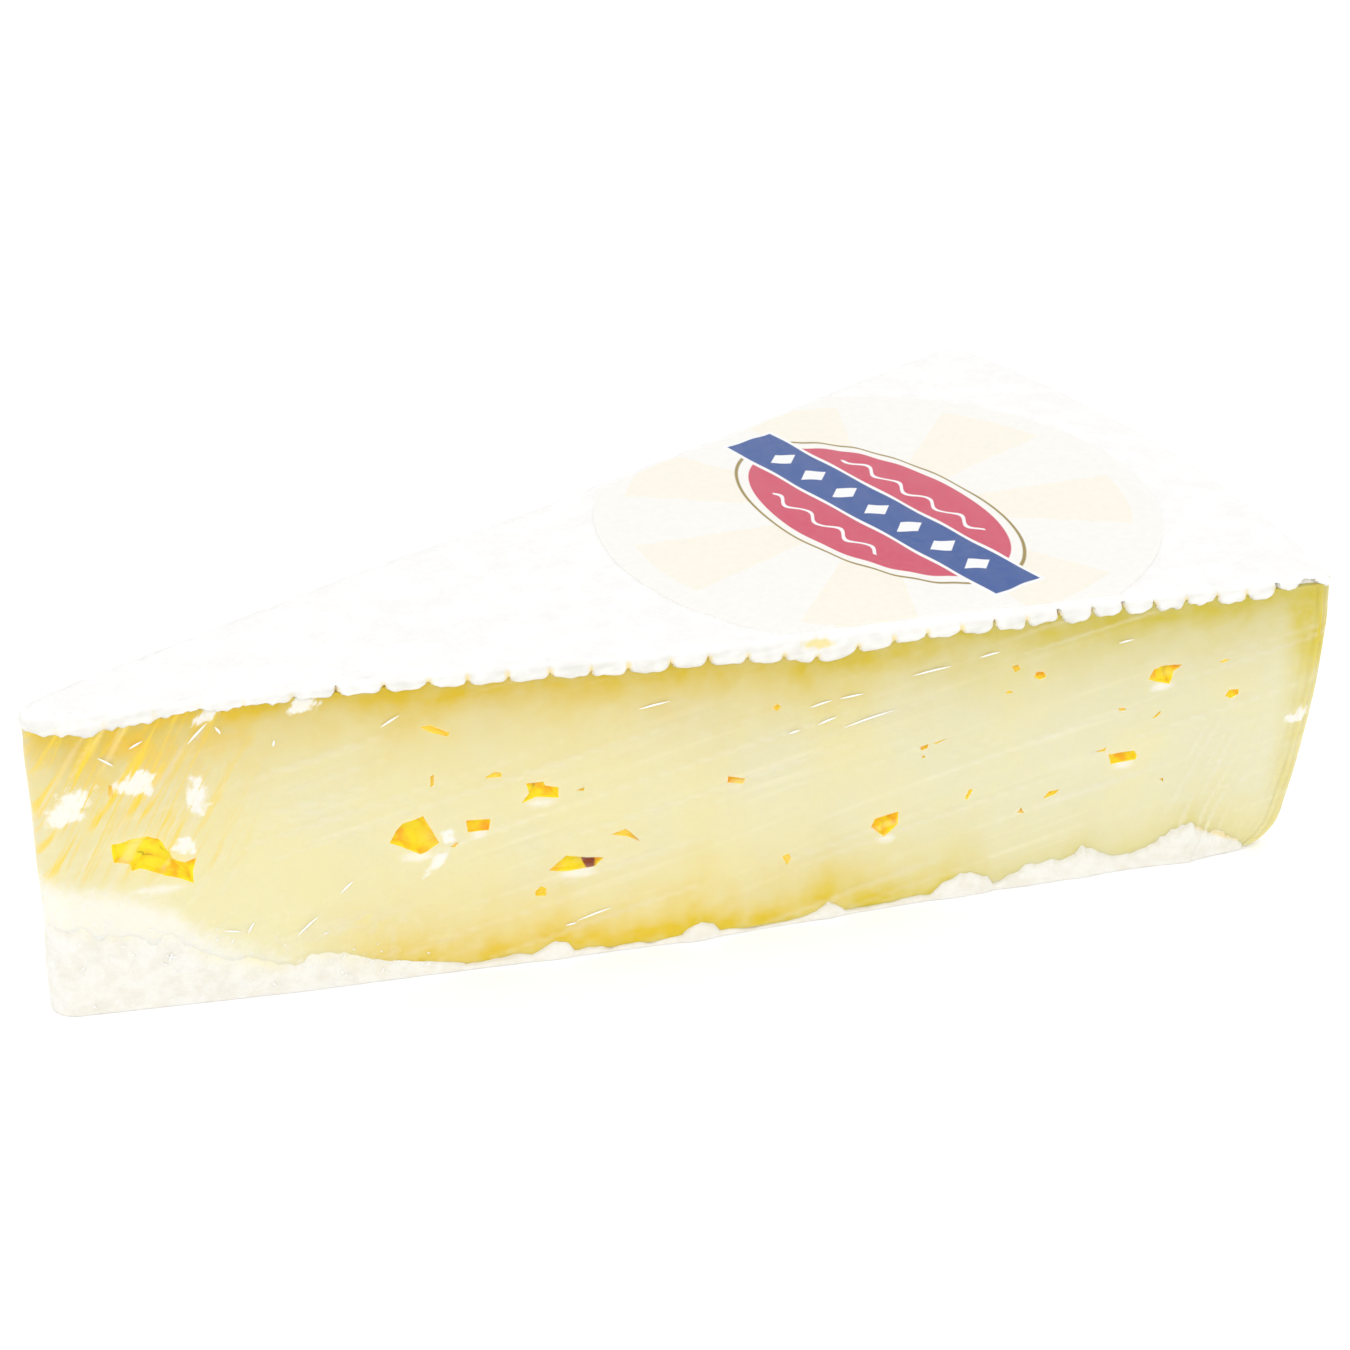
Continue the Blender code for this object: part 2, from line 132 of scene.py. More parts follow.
# The foot's rind: the smear over the tip, then low scallops and lumps
SMEAR_PLACES = (7.0, 13.0, 21.6, 24.3, 29.2, 32.6, 35.4, 39.5, 42.8, 46.2, 50.0, 53.5)
SMEAR_TOPS = (15.5, 13.2, 12.0, 9.4, 7.0, 6.1, 7.6, 7.0, 4.8, 3.1, 2.0, 0.9)
FOOT_PLACES = {
    FRONT: (
        46, 55.4, 59.2, 61.4, 62.9, 64.1, 65.6, 66.3, 67.8, 69.3, 70.5, 72, 73.8, 75, 77, 78.8, 79.6, 81.1, 82.6,
        83.4, 85.4, 87.5, 90, 93.6, 95.2, 96.5, 97.6, 98.8, 104, 107.7, 109.4, 110.6, 112.4, 116.5, 117.2, 118.1,
        121.2, 125.6, 128.6, 130.6, 134.5, 137.5, 139.4, 141.3, 142.5, 143.3, 146, 148.7, 150.1, 152,
    ),
    BACK: (
        46, 55, 57.5, 60, 61, 68, 70, 72, 73, 79, 84, 86, 88, 89.5, 97, 99.5, 103, 104, 110, 113, 116, 117.5, 124,
        126, 129, 131, 137, 139.5, 142, 144, 152,
    ),
}
FOOT_TOPS = {
    FRONT: (
        0.9, 0.6, 1.2, 0.9, 2.0, 2.4, 1.9, 0.7, 1.1, 0.9, 0.3, 0.8, 0.8, 0.3, 0.8, 1.0, 2.1, 2.4, 1.7,
        0.7, 0.7, 0.3, 0.5, 0.8, 1.3, 2.4, 1.6, 0.5, 0.6, 0.9, 0.7, 2.3, 3.0, 2.4, 0.9, 1.3,
        2.8, 2.8, 4.1, 2.9, 2.1, 3.1, 4.1, 5.2, 5.9, 4.3, 3.1, 1.8, 1.2, 0.5,
    ),
    BACK: (
        0.9, 0.6, 1.9, 2.3, 0.7, 0.9, 2.0, 1.6, 0.5, 1.0, 0.7, 2.4, 2.1, 0.6, 0.8, 2.5, 2.2, 0.6, 0.9, 2.7, 2.4, 0.8,
        1.1, 3.1, 2.3, 0.9, 1.2, 3.6, 2.8, 0.9, 0.5,
    ),
}
FOOT_LEVEL = 2.0
FOOT_LOW = 0.08
FOOT_LEAST = 0.3
HEEL_FOOT = 0.4
HEEL_FOOT_PROUD = 0.05
FLAKE_EDGE = ((142.8, 146, 148.7, 150.1), (4.6, 3.1, 1.8, 1.2))

# The film
FILM_GAP = 0.14
FILM_LOW = 0.03
FILM_SLOPE = 0.22
FILM_TOP = LABEL_HIGH[2] + 0.1
FILM_OVER_RIND = HEIGHT + 0.05
FILM_STEP = 0.45
FILM_REACH = 12
FILM_GLOSS = 0.02

# Eyes of the front face: the middle's place and height, the depth, and the corners from the middle
FRONT_EYES = (
    (20.2, 18.9, 3.0, (
        (-4.3, 0.2), (-4.3, 2.6), (-3.1, 2.6), (-1.7, 3.1), (-0.4, 3.1), (0.7, 2.5), (1.4, 1.3), (1.9, -0.1),
        (3.2, -0.7), (4.4, -0.4), (4.0, -1.8), (3.9, -3.5), (2.6, -2.7), (1.1, -2.1), (-0.3, -1.3), (-1.5, -0.8),
        (-2.4, -1.1), (-2.5, -0.1),
    )),
    (48.7, 18.1, 3.6, ((-2.7, -0.7), (-1.4, 1.6), (0.9, 2.1), (2.5, -1.3), (0.5, -2.5))),
    (55.9, 18.2, 1.9, ((-1.4, 0.8), (1.4, 0.5), (1.2, -0.8), (-1.3, -0.7))),
    (58.0, 24.1, 0.9, ((-1.3, -0.2), (-0.1, 0.4), (0.8, 0.2), (0.7, -0.4))),
    (63.0, 21.5, 2.0, (
        (-1.8, 1.2), (0.3, 1.1), (0.6, 0.5), (2.1, 0.1), (2.1, -1.2), (-0.5, -0.8), (-2.2, -1.3), (-1.3, -0.1),
    )),
    (67.5, 21.1, 0.7, ((-0.6, -0.1), (0.5, 0.2), (0.3, -0.3))),
    (66.9, 12.0, 2.4, ((-3.3, -0.6), (-1.3, 1.1), (1.1, 0.5), (3.1, 0.1), (1.9, -0.8), (-1.2, -1.0))),
    (62.6, 8.8, 1.1, ((-0.8, 0.1), (0.0, 0.7), (0.6, 0.4), (0.5, -0.5), (-0.6, -0.5))),
    (51.6, 30.7, 0.9, ((-1.8, 0.6), (-0.6, 0.8), (1.6, -0.6), (1.3, -1.0), (-0.7, -0.2))),
    (50.9, 24.4, 0.7, ((-0.2, -0.8), (-0.2, 0.6), (0.3, 0.8), (0.2, -0.6))),
    (16.4, 28.0, 0.7, ((-0.3, -0.8), (-0.2, 0.9), (0.3, 0.7), (0.2, -0.9))),
    (53.1, 16.1, 0.5, ((-0.6, -0.2), (0.1, 0.3), (0.6, 0.2), (0.0, -0.3))),
    (72.6, 14.6, 0.7, ((-1.9, 0.4), (-0.1, 0.9), (0.7, 0.2), (1.6, -1.0), (0.0, -0.1))),
    (85.4, 19.7, 1.4, ((-1.0, 0.7), (1.3, 0.0), (0.8, -0.6), (-1.0, -0.2))),
    (90.1, 28.3, 0.8, ((-0.5, 0.1), (0.0, 0.5), (0.5, 0.1), (0.1, -0.5))),
    (91.4, 8.7, 0.5, ((-0.6, 0.5), (0.3, 0.8), (0.6, 0.0), (0.0, -0.8))),
    (103.5, 11.3, 2.7, ((-1.8, -0.3), (-1.4, 0.8), (1.6, 1.3), (1.6, -0.4), (-0.2, -1.8))),
    (107.8, 20.7, 1.0, ((-0.6, 0.2), (0.5, 0.5), (0.4, -0.1), (-0.4, -0.3))),
    (109.6, 21.2, 0.4, ((-0.9, -0.1), (1.0, 0.4), (-0.3, -0.2))),
    (107.7, 19.5, 0.5, ((-0.2, -0.2), (0.0, 0.3), (0.3, -0.1))),
    (113.5, 13.6, 0.8, ((-0.5, -0.6), (0.1, 0.8), (0.6, 0.6), (-0.1, -0.8))),
    (118.4, 29.7, 0.9, ((-0.6, 0.3), (0.1, 0.4), (0.5, -0.2), (-0.2, -0.5))),
    (121.2, 28.3, 1.3, ((-0.7, -0.1), (-0.4, 0.6), (0.5, 0.5), (0.9, -0.3), (0.1, -0.6))),
    (117.7, 26.6, 0.4, ((-0.5, 0.0), (0.0, 0.3), (0.5, -0.1), (0.0, -0.2))),
    (123.9, 12.1, 1.0, ((-1.1, -0.5), (-0.4, 0.4), (1.0, 0.4), (0.4, -0.2))),
    (120.1, 10.3, 0.8, ((-0.4, -0.2), (0.0, 0.6), (0.5, -0.4))),
    (129.4, 17.0, 0.6, ((-1.1, -0.2), (1.0, 0.5), (0.8, 0.0), (-0.6, 0.0))),
    (132.6, 15.9, 2.0, ((-1.9, 0.5), (1.2, 0.7), (1.7, 0.1), (1.5, -0.5), (-1.5, -0.8))),
    (131.8, 22.4, 0.6, ((-0.7, 0.2), (0.1, 0.3), (0.6, -0.1), (-0.1, -0.2))),
    (136.3, 21.1, 0.7, ((-0.7, -0.4), (0.4, 0.5), (0.4, 0.1), (-0.2, -0.4))),
    (136.6, 26.5, 2.6, ((-1.8, -0.4), (-1.2, 0.7), (-0.3, 1.2), (2.1, 1.0), (1.3, 0.2), (0.8, -1.4))),
    (145.6, 22.6, 1.4, ((-0.9, -0.2), (-0.4, 0.6), (0.8, 0.5), (0.8, -0.2), (-0.2, -0.6))),
    (144.1, 27.2, 0.4, ((-0.7, 0.0), (0.2, 0.3), (0.7, 0.1), (-0.2, -0.2))),
    (137.8, 11.8, 0.5, ((-0.3, 0.3), (0.1, 0.4), (0.3, -0.3))),
)
BROWN_EYE = (68.3, 11.7)
EYE_OUT = 0.9
EYE_DEPTH = 0.6
EYE_SEED = 12
EYE_PLAN = (320, 60)
BACK_EYE_COUNT = 34
BACK_EYE_AREA = ((20, 8), (146, 30))
BACK_EYE_SPACING = 6.5

# White patches on the front face: place, height, half sizes and slant in degrees
PALE_PATCHES = (
    (11.9, 26.6, 3.4, 1.5, 35), (19.6, 28.8, 2.7, 1.5, 20), (25.3, 26.3, 1.3, 2.6, 5), (51.0, 14.1, 0.9, 2.1, -35),
    (154.2, 18.6, 1.9, 1.0, 5), (23.6, 19.9, 1.8, 0.9, -20), (52.4, 17.6, 1.1, 1.2, 0),
    (27.2, 35.7, 2.2, 0.8, 10), (37.6, 35.6, 2.1, 0.8, 15),
)
PATCH_WARP = (((2.4, 1.0, 3), (0.9, 0.6, 8)), ((2.4, 1.0, 4), (0.9, 0.6, 9)))
PATCH_WARP_REACH = 1.1

# Bright folds of the film on the front face, white as a painted highlight for the film's glints: place, height, length
# and slant in degrees
FILM_FOLDS = (
    (108.2, 30.7, 4.6, 8), (115.0, 31.9, 2.4, 10), (95.2, 28.2, 2.6, 14), (98.8, 28.7, 2.8, 6),
    (96.0, 25.9, 2.4, 18), (101.0, 25.5, 6.2, 14), (92.2, 25.0, 1.4, 14), (68.6, 5.2, 4.2, 16), (65.9, 4.3, 1.4, 8),
    (16.2, 31.8, 2.0, -38), (19.5, 33.4, 1.7, 28), (26.0, 33.9, 3.2, 46), (28.2, 34.0, 1.1, -60),
    (34.0, 31.6, 0.8, 80), (46.6, 32.6, 2.4, 30), (40.8, 12.6, 2.2, 44), (28.0, 8.8, 1.9, -10), (30.0, 9.0, 1.6, 60),
    (21.0, 6.5, 1.3, 70), (36.2, 8.4, 3.4, 42), (131.5, 31.5, 1.8, 9), (76.0, 30.6, 3.6, 9),
)
FILM_FOLD_WIDTH = 0.13
FOLD_SECTIONS = 7
SPARKLE_COUNT = 90
SPARKLE_SEED = 77
SPARKLE_WIDTH = 0.09
SPARKLE_PLACES = (10, 40)

# Points of each skin's plan: along a cut face and round the heel
PASTE_PLAN = (300, 130)
RIND_PLAN = (500, 150)
FOOT_PLAN = (560, 100)
FILM_PLAN = (300, 100)

# Layers of noise: the size of a feature, its share and its seed
NOISE_SHIFT = np.array((17.3, 5.1, 9.7))
LIP_RAGGED = ((1.5, 0.6, 47), (0.7, 0.4, 48))
FOOT_RAGGED = ((2.2, 0.6, 31), (0.9, 0.4, 32))
PASTE_SOFT = ((14, 0.22, 21), (4.5, 0.07, 22))
RIND_ROUGH = ((1.4, 0.1, 41), (4, 0.14, 42))
FOOT_ROUGH = ((1.3, 0.1, 51), (3.6, 0.16, 52))
HEEL_RIND_EDGE = ((2.2, 0.7, 6), (0.9, 0.3, 7))

# Stretch lines: turn in degrees, length, width and seed
STEEP_LINES = (60, 14, 1.6, 64)
LONG_LINES = (12, 34, 1.9, 65)
HEEL_LINES = (78, 20, 2.0, 66)
LONG_HAZE = (13, 30, 0.8, 67)
STEEP_HAZE = (60, 9, 0.7, 68)
HEEL_HAZE = (66, 12, 0.6, 70)
LIP_CRUMBLY_SHADE = (7, 3.0, 0.5, 53)
BACK_SHIFT = 400

# Soft ramps along the faces or up them, from where they start to where they are full
RISE_UP = (18, 35)
LIP_RUMPLED = (44, 32)
LIP_LOBED = (108, 120)
LIP_PROUD_FROM = (8, 15)
FILM_TIP = (38, 22)
LOW_TIP_UP = (13, 5)
LOW_TIP_ALONG = (58, 38)
PASTE_TIP = (36, 18)
TIP_GOLD_UP = (13, 21)
STREAK_UP = (15, 20)
ORANGE_ALONG = (11, 20)
LIP_GOLD_ALONG = (8, 18)
FOOT_GOLD_ALONG = (30, 44)
FOOT_GOLD_FADE = (98, 120)
HEEL_GOLD_UP = (22, 34)
HEEL_RIND_ALONG = (120, 130)
SOFT_TOP_ALONG = (46, 20)

# Golden glow of the paste under the lip and over the foot: share and reach of each layer
LIP_GLOW = ((1.0, 5.4), (0.4, 1.2))
FOOT_GLOW = ((1.15, 5.0), (0.45, 1.1))
LIP_SHADE = (0.16, 7)

# The sticker and its print, turned as the photograph shows it
LABEL_GAP = 0.2
LABEL_THICKNESS = 0.3
LABEL_INSET = 1.6
LABEL_SIDES = 360
LABEL_MIDDLE = (LABEL_LOW[0] + LABEL_HIGH[0]) / 2
LABEL_RADIUS = (LABEL_HIGH[0] - LABEL_LOW[0]) / 2
PRINT_TURN = math.radians(-82)
PRINT_RAYS = 7
PRINT_RAY_START = 0.6
PRINT_RAY_REACH = 30.6
PRINT_OVAL = (22.5, 12.6)
PRINT_RING = 12.5
PRINT_RING_WIDTH = 0.3
PRINT_INNER = 11.4
PRINT_WAVE_LEVELS = (-7.6, 6.4)
PRINT_WAVE_PACE = 1.1
PRINT_WAVE_HEIGHT = 0.7
PRINT_WAVE_WIDTH = 0.5
PRINT_WAVE_REACH = 9.5
PRINT_BAND = (25.0, 3.4)
PRINT_BAND_EDGE = 0.5
PRINT_DIAMOND_PITCH = 6.0
PRINT_DIAMOND_AREA = (21.0, 3.0)

# The studio: metres, watts and degrees
FLOOR_RADIUS = 4.0
FLOOR_DROP = 0.00002
FLOOR_LIFT = 0.1
WORLD_STRENGTH = 1.05
LIGHTS = (
    ("softbox", (-0.30, -0.55, 0.75), (0.16, 0.16), 0.5),
    ("left_strip", (-0.7, -0.35, 0.35), (0.04, 0.3), 0.35),
    ("front_strip", (0.15, -0.75, 0.5), (0.3, 0.04), 0.4),
)
CAMERA_PLACE = (-0.1417, -0.2647, 0.1887)
CAMERA_TURN = (28.92, 28.94, 0.2)
CAMERA_LENS = 77.49
CAMERA_SENSOR = 36


def smooth(value):
    """A soft step from 0 to 1."""
    held = np.clip(value, 0, 1)
    return held * held * (3 - 2 * held)


def ramp(value, start, end):
    """A soft step from 0 at the start to 1 at the end, which may be the lower one."""
    return smooth((value - start) / (end - start))


def noise_at(points, size, seed):
    """Smooth noise from -1 to 1 at these points, with features of about this size."""
    moved = np.asarray(points) / size + NOISE_SHIFT * seed
    return np.array([noise.noise(point) for point in moved.tolist()])


def layered_noise(points, layers):
    """Layers of noise added up."""
    return sum(share * noise_at(points, size, seed) for size, share, seed in layers)


def stretched_noise(along, height, turn, length, width, seed):
    """Noise drawn out into lines of this length and width, turned up from the face's own run."""
    angle = math.radians(turn)
    run = along * math.cos(angle) + height * math.sin(angle)
    over = height * math.cos(angle) - along * math.sin(angle)
    return noise_at(np.column_stack((run / length, over / width, np.zeros(len(run)))), 1, seed)


def chances(numbers, seed):
    """A steady random value from -1 to 1 for each of these whole numbers."""
    table = np.random.default_rng(seed).uniform(-1, 1, 256)
    return table[np.asarray(numbers) % len(table)]


def face_axes(side):
    """The directions along a cut face, out of it and up."""
    direction = np.array((math.cos(HALF_ANGLE), side * math.sin(HALF_ANGLE), 0))
    outward = np.array((-math.sin(HALF_ANGLE), side * math.cos(HALF_ANGLE), 0))
    return direction, outward, np.array((0, 0, 1.0))


def in_metres(points):
    """Points from the wheel's centre as places in the scene."""
    return (np.asarray(points) + np.array((CENTRE_X, 0, 0))) * MM


def arc(centre, radius, start, end, count):
    """Points of an arc without its end, the directions out from it, and the turns."""
    turns = np.linspace(start, end, count, endpoint=False)
    outward = np.column_stack((np.cos(turns), np.sin(turns)))
    return np.array(centre) + radius * outward, outward, turns


def straight(side, places):
    """Points along a cut face, the directions out from it, and the places."""
    direction, outward, _ = face_axes(side)
    return np.outer(places, direction[:2]), np.tile(outward[:2], (len(places), 1)), places


def walk_round(face_count, heel_count):
    """The wedge's plan, from the nose along the front face, round the heel and back again."""
    corner_x = CORNER_CENTRE * math.cos(CORNER_TURN)
    corner_y = CORNER_CENTRE * math.sin(CORNER_TURN)
    forward = np.linspace(FACE_START, FACE_END, face_count, endpoint=False)
    backward = np.linspace(FACE_END, FACE_START, face_count, endpoint=False)
    front_corner = arc((corner_x, -corner_y), CORNER_RADIUS, -SIDE_TURN, -CORNER_TURN, CORNER_COUNT)
    heel = arc((0, 0), WHEEL_RADIUS, -CORNER_TURN, CORNER_TURN, heel_count)
    back_corner = arc((corner_x, corner_y), CORNER_RADIUS, CORNER_TURN, SIDE_TURN, CORNER_COUNT)
    nose = arc((NOSE_CENTRE, 0), NOSE_RADIUS, SIDE_TURN, 2 * math.pi - SIDE_TURN, NOSE_COUNT)
    front_face = straight(FRONT, forward)
    back_face = straight(BACK, backward)
    nose_turned = np.minimum(nose[2] - SIDE_TURN, 2 * math.pi - SIDE_TURN - nose[2])
    along = np.concatenate((
        forward,
        FACE_END + CORNER_RADIUS * (front_corner[2] + SIDE_TURN),
        FACE_END + CORNER_LENGTH + WHEEL_RADIUS * (CORNER_TURN - np.abs(heel[2])),
        FACE_END + CORNER_RADIUS * (SIDE_TURN - back_corner[2]),
        backward,
        FACE_START - NOSE_RADIUS * nose_turned,
    ))
    parts = (front_face, front_corner, heel, back_corner, back_face, nose)
    place = np.concatenate([part[0] for part in parts])
    part_way = (np.clip(along, FACE_START, FACE_END) - FACE_START) / (FACE_END - FACE_START)
    return SimpleNamespace(
        place=place,
        outward=np.concatenate([part[1] for part in parts]),
        along=along,
        heel=smooth((along - FACE_END) / CORNER_LENGTH),
        pull=smooth((along - FACE_END + PULL_REACH) / PULL_REACH),
        centred=place / np.linalg.norm(place, axis=1)[:, None],
        across=place @ ALONG_FRONT,
        front=place[:, 1] < 0,
        spine=NOSE_CENTRE + part_way * (SPINE_END - NOSE_CENTRE),
        zero=np.zeros(len(along)),
    )


def flat_points(plan, height, outset, inward=0.0):
    """The plan's points at this height, moved out from the edge, and then part of the way in to the spine."""
    drawn = heel_draw_in(height) * plan.pull
    edge = plan.place - plan.centred * drawn[:, None] + plan.outward * np.reshape(outset + plan.zero, (-1, 1))
    return toward_spine(plan, edge, inward)


def toward_spine(plan, edge, inward):
    """Points moved part of the way in from an edge to the spine."""
    spine = np.column_stack((plan.spine, plan.zero))
    return edge + (spine - edge) * inward


def ring(plan, height, outset, inward=0.0, level=None):
    """A ring of the plan's points at this height, or lifted to another level."""
    level = height if level is None else level
    return np.column_stack((flat_points(plan, height, outset, inward), plan.zero + level))


def add_object(name, data):
    """A new object in the scene."""
    new = bpy.data.objects.new(name, data)
    bpy.context.collection.objects.link(new)
    return new


def make_piece(name, mesh, look):
    """A piece of the scene that rides on the part's one body."""
    piece = add_object(name, mesh)
    mesh.materials.append(look)
    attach(piece, "root")
    return piece


def mesh_of(shape, name):
    """The mesh of a shape that is done."""
    mesh = bpy.data.meshes.new(name)
    shape.to_mesh(mesh)
    shape.free()
    return mesh


def shade(mesh):
    """Smooth shading with sharp edges where faces meet steeply."""
    mesh.shade_smooth()
    mesh.set_sharp_from_angle(angle=SHARP_ANGLE)


def band_faces(size, count):
    """The four-sided faces between this many rings of points."""
    here = np.arange(size)
    after = np.roll(here, -1)
    faces = [np.column_stack((here, after, after + size, here + size)) + row * size for row in range(count - 1)]
    return np.concatenate(faces).tolist()


def rise(places):
    """How much higher the top lies at these distances from the wheel's centre."""
    return RISE * smooth((RISE_START - places) / RISE_REACH)


def loft(name, rows):
    """A closed skin through rings of points, from the middle of the bottom to the middle of the top."""
    size = len(rows[0])
    points = np.concatenate(rows)
    points[:, 2] += rise(points[:, 0]) * ramp(points[:, 2], *RISE_UP)
    mesh = bpy.data.meshes.new(name)
    mesh.from_pydata(in_metres(points).tolist(), [], band_faces(size, len(rows)))
    shape = bmesh.new()
    shape.from_mesh(mesh)
    shape.verts.ensure_lookup_table()
    middles = shape.verts[:size] + shape.verts[-size:]
    bmesh.ops.remove_doubles(shape, verts=middles, dist=MERGE_REACH * MM)
    shape.to_mesh(mesh)
    shape.free()
    shade(mesh)
    return mesh


def points_of(mesh):
    """A mesh's points in millimetres from the wheel's centre."""
    points = np.empty(3 * len(mesh.vertices), dtype=np.float32)
    mesh.vertices.foreach_get("co", points)
    return points.reshape(-1, 3).astype(float) / MM - np.array((CENTRE_X, 0, 0))


def paint(mesh, **painted_values):
    """Keep values for each point, which the material reads by their names."""
    for name, values in painted_values.items():
        layer = mesh.attributes.new(name, "FLOAT", "POINT")
        layer.data.foreach_set("value", np.asarray(values, dtype=np.float32))


def paint_face_places(mesh, points):
    """Keep each point's place along the cut face, height and side, for patterns that follow the face."""
    side = np.where(points[:, 1] < 0, FRONT, BACK)
    along = points[:, 0] * math.cos(HALF_ANGLE) + points[:, 1] * side * math.sin(HALF_ANGLE)
    places = np.column_stack((along, points[:, 2], side * SIDES_APART))
    layer = mesh.attributes.new("face_place", "FLOAT_VECTOR", "POINT")
    layer.data.foreach_set("vector", places.astype(np.float32).ravel())
    return along, side


def heel_draw_in(height):
    """How far the rim draws in from the wheel's full radius at this height."""
    belly = np.clip((BELLY_HEIGHT - height) / (BELLY_HEIGHT - BOTTOM_ROUND), 0, 1)
    below = np.clip((BOTTOM_ROUND - height) / BOTTOM_ROUND, 0, 1)
    full = BELLY_OUT * np.clip(1 - ((height - BELLY_OUT_HEIGHT) / BELLY_OUT_REACH) ** 2, 0, 1)
    return BELLY_DRAW_IN * belly**2 - full + BOTTOM_ROUND * (1 - np.sqrt(1 - below**2))


def foot_spread(plan, height):
    """How far the soft paste stands out towards the foot of the cut faces."""
    reach = np.interp(plan.along, SPREAD_PLACES, SPREAD_SIZES)
    share = smooth((SPREAD_TOP - height) / SPREAD_TOP)
    edge = np.clip((EDGE_ROUND - height) / EDGE_ROUND, 0, 1)
    return reach * share - EDGE_ROUND * (1 - np.sqrt(1 - edge**2))


def base_out(plan, height):
    """How far the cut faces stand out from the plan, with the spread at their foot."""
    return foot_spread(plan, height) * (1 - plan.heel)


def scallops(across):
    """The number of the rib at each place, and how far the place is from its middle: 1 in a notch."""
    held = np.clip(across, 0, WHEEL_RADIUS)
    count = -np.log(1 - RIB_SHRINK * held / RIB_PITCH) / RIB_SHRINK - RIB_START
    wander = np.array([noise.noise((value * RIB_WANDER_PACE, *RIB_WANDER_LINE)) for value in held])
    count = count + RIB_WANDER * wander
    part = count - np.floor(count)
    return np.floor(count).astype(int), np.abs(2 * part - 1)


def lip_shape(plan):
    """How deep and how proud the top rind's lip is round the wedge."""
    number, away = scallops(plan.across)
    number = number + np.where(plan.front, 0, BACK_RIBS)
    where = np.column_stack((plan.place, plan.zero))
    ragged = layered_noise(where, LIP_RAGGED)
    rumpled = ramp(plan.along, *LIP_RUMPLED)
    lobed = ramp(plan.along, *LIP_LOBED)
    notch = away**NOTCH_POWER * (1 - rumpled * (0.75 + 0.25 * chances(number, 6)))
    drop = np.interp(plan.along, LIP_PLACES, LIP_DROPS) + 0.12 * chances(number, 3)
    drop = drop + rumpled * 0.9 * noise_at(where, 5.5, 46) + (0.3 + 0.6 * rumpled + 0.4 * lobed) * ragged
    notch_rise = NOTCH_RISE * (1 + 0.45 * chances(number, 7)) * notch
    drop = np.maximum(drop - notch_rise - (0.2 + 0.55 * lobed) * away**2.5, LIP_LEAST)
    proud = LIP_PROUD + 0.1 * chances(number, 5) + 0.1 * ragged
    proud = (proud - NOTCH_SUNK * notch) * (0.25 + 0.75 * ramp(plan.along, *LIP_PROUD_FROM))
    fold = np.where(plan.front, smooth(1 - np.abs(plan.along - FOLD_PLACE) / FOLD_WIDTH), 0)
    proud = np.maximum(proud, fold * FOLD_PROUD)
    drop = drop * (1 - plan.heel) + HEEL_LIP_DROP * plan.heel
    proud = proud * (1 - plan.heel) + HEEL_LIP_PROUD * plan.heel
    return drop, proud


def lip_level(along, points):
    """The height of the lip's lower edge at these places."""
    return HEIGHT + rise(points[:, 0]) - np.interp(along, LIP_PLACES, LIP_DROPS)


def lip_out(plan, depth, shape):
    """How far the top rind stands out at this depth below its top."""
    drop, proud = shape
    held = np.clip(depth / drop, 0, 1) ** 8
    rounded = np.clip((LIP_ROUND - depth) / LIP_ROUND, 0, 1)
    return proud - (proud + LIP_SUNK) * held - (LIP_ROUND + 0.2) * (1 - np.sqrt(1 - rounded**2))


def foot_top(along, front):
    """How high the foot's lumps reach at these places along the faces."""
    front_top = np.interp(along, FOOT_PLACES[FRONT], FOOT_TOPS[FRONT])
    back_top = np.interp(along, FOOT_PLACES[BACK], FOOT_TOPS[BACK])
    return np.where(front, front_top, back_top)


def smear_top(along, front):
    """How high the rind that was dragged over the tip reaches."""
    tops = np.interp(along, SMEAR_PLACES, SMEAR_TOPS) * np.where(front, 1.0, 0.82)
    return np.where(along < SMEAR_PLACES[-1], tops, 0)


def foot_crest(plan):
    """How high the foot's rind reaches, and how proud it stands, round the wedge."""
    ragged = layered_noise(np.column_stack((plan.place, plan.zero)), FOOT_RAGGED)
    drawn = heel_draw_in(FOOT_LEVEL) * plan.pull
    lumps = foot_top(plan.along - drawn, plan.front)
    crest = lumps * (1 + 0.36 * ragged)
    smear = smear_top(plan.along, plan.front) * (1 + 0.12 * ragged)
    in_smear = smooth((smear - crest) / 1.5)
    proud = (0.28 + 0.14 * lumps) * (1 - in_smear) + 0.32 * in_smear
    crest = np.maximum(np.maximum(crest, smear), FOOT_LEAST) * (1 - plan.heel) + HEEL_FOOT * plan.heel
    proud = proud * (1 - plan.heel) + HEEL_FOOT_PROUD * plan.heel
    return crest, proud, in_smear


def foot_out(height, shape):
    """How far the foot's rind stands out at this height."""
    crest, proud, in_smear = shape
    power = 8 - 4.5 * in_smear
    return proud - (proud + LIP_SUNK) * np.clip(height / crest, 0, 1) ** power


def eye_cutter(corners, depth, side, middle, chance):
    """The points and faces of one eye's cutter: a ring outside the face, one inside it, and a tip."""
    count = len(corners)
    depth = EYE_DEPTH * depth
    out = np.array(corners) * 1.12
    inside = np.array(corners) * 0.9 + chance.uniform(-0.12, 0.12, (count, 2)) * depth
    deep = np.array(corners) * 0.45 + np.array((0.1, 0.15)) * depth
    direction, outward, up = face_axes(side)
    points = []
    for corner_ring, lift in ((out, EYE_OUT), (inside, -0.45 * depth), (deep, -0.9 * depth)):
        for x, z in corner_ring:
            points.append(direction * (middle[0] + x) + outward * lift + up * (middle[1] + z))
    faces = [list(range(count)), list(range(2 * count, 3 * count))[::-1]]
    for row in (0, count):
        for i in range(count):
            j = (i + 1) % count
            faces.append([row + i, row + count + i, row + count + j, row + j])
    return points, faces


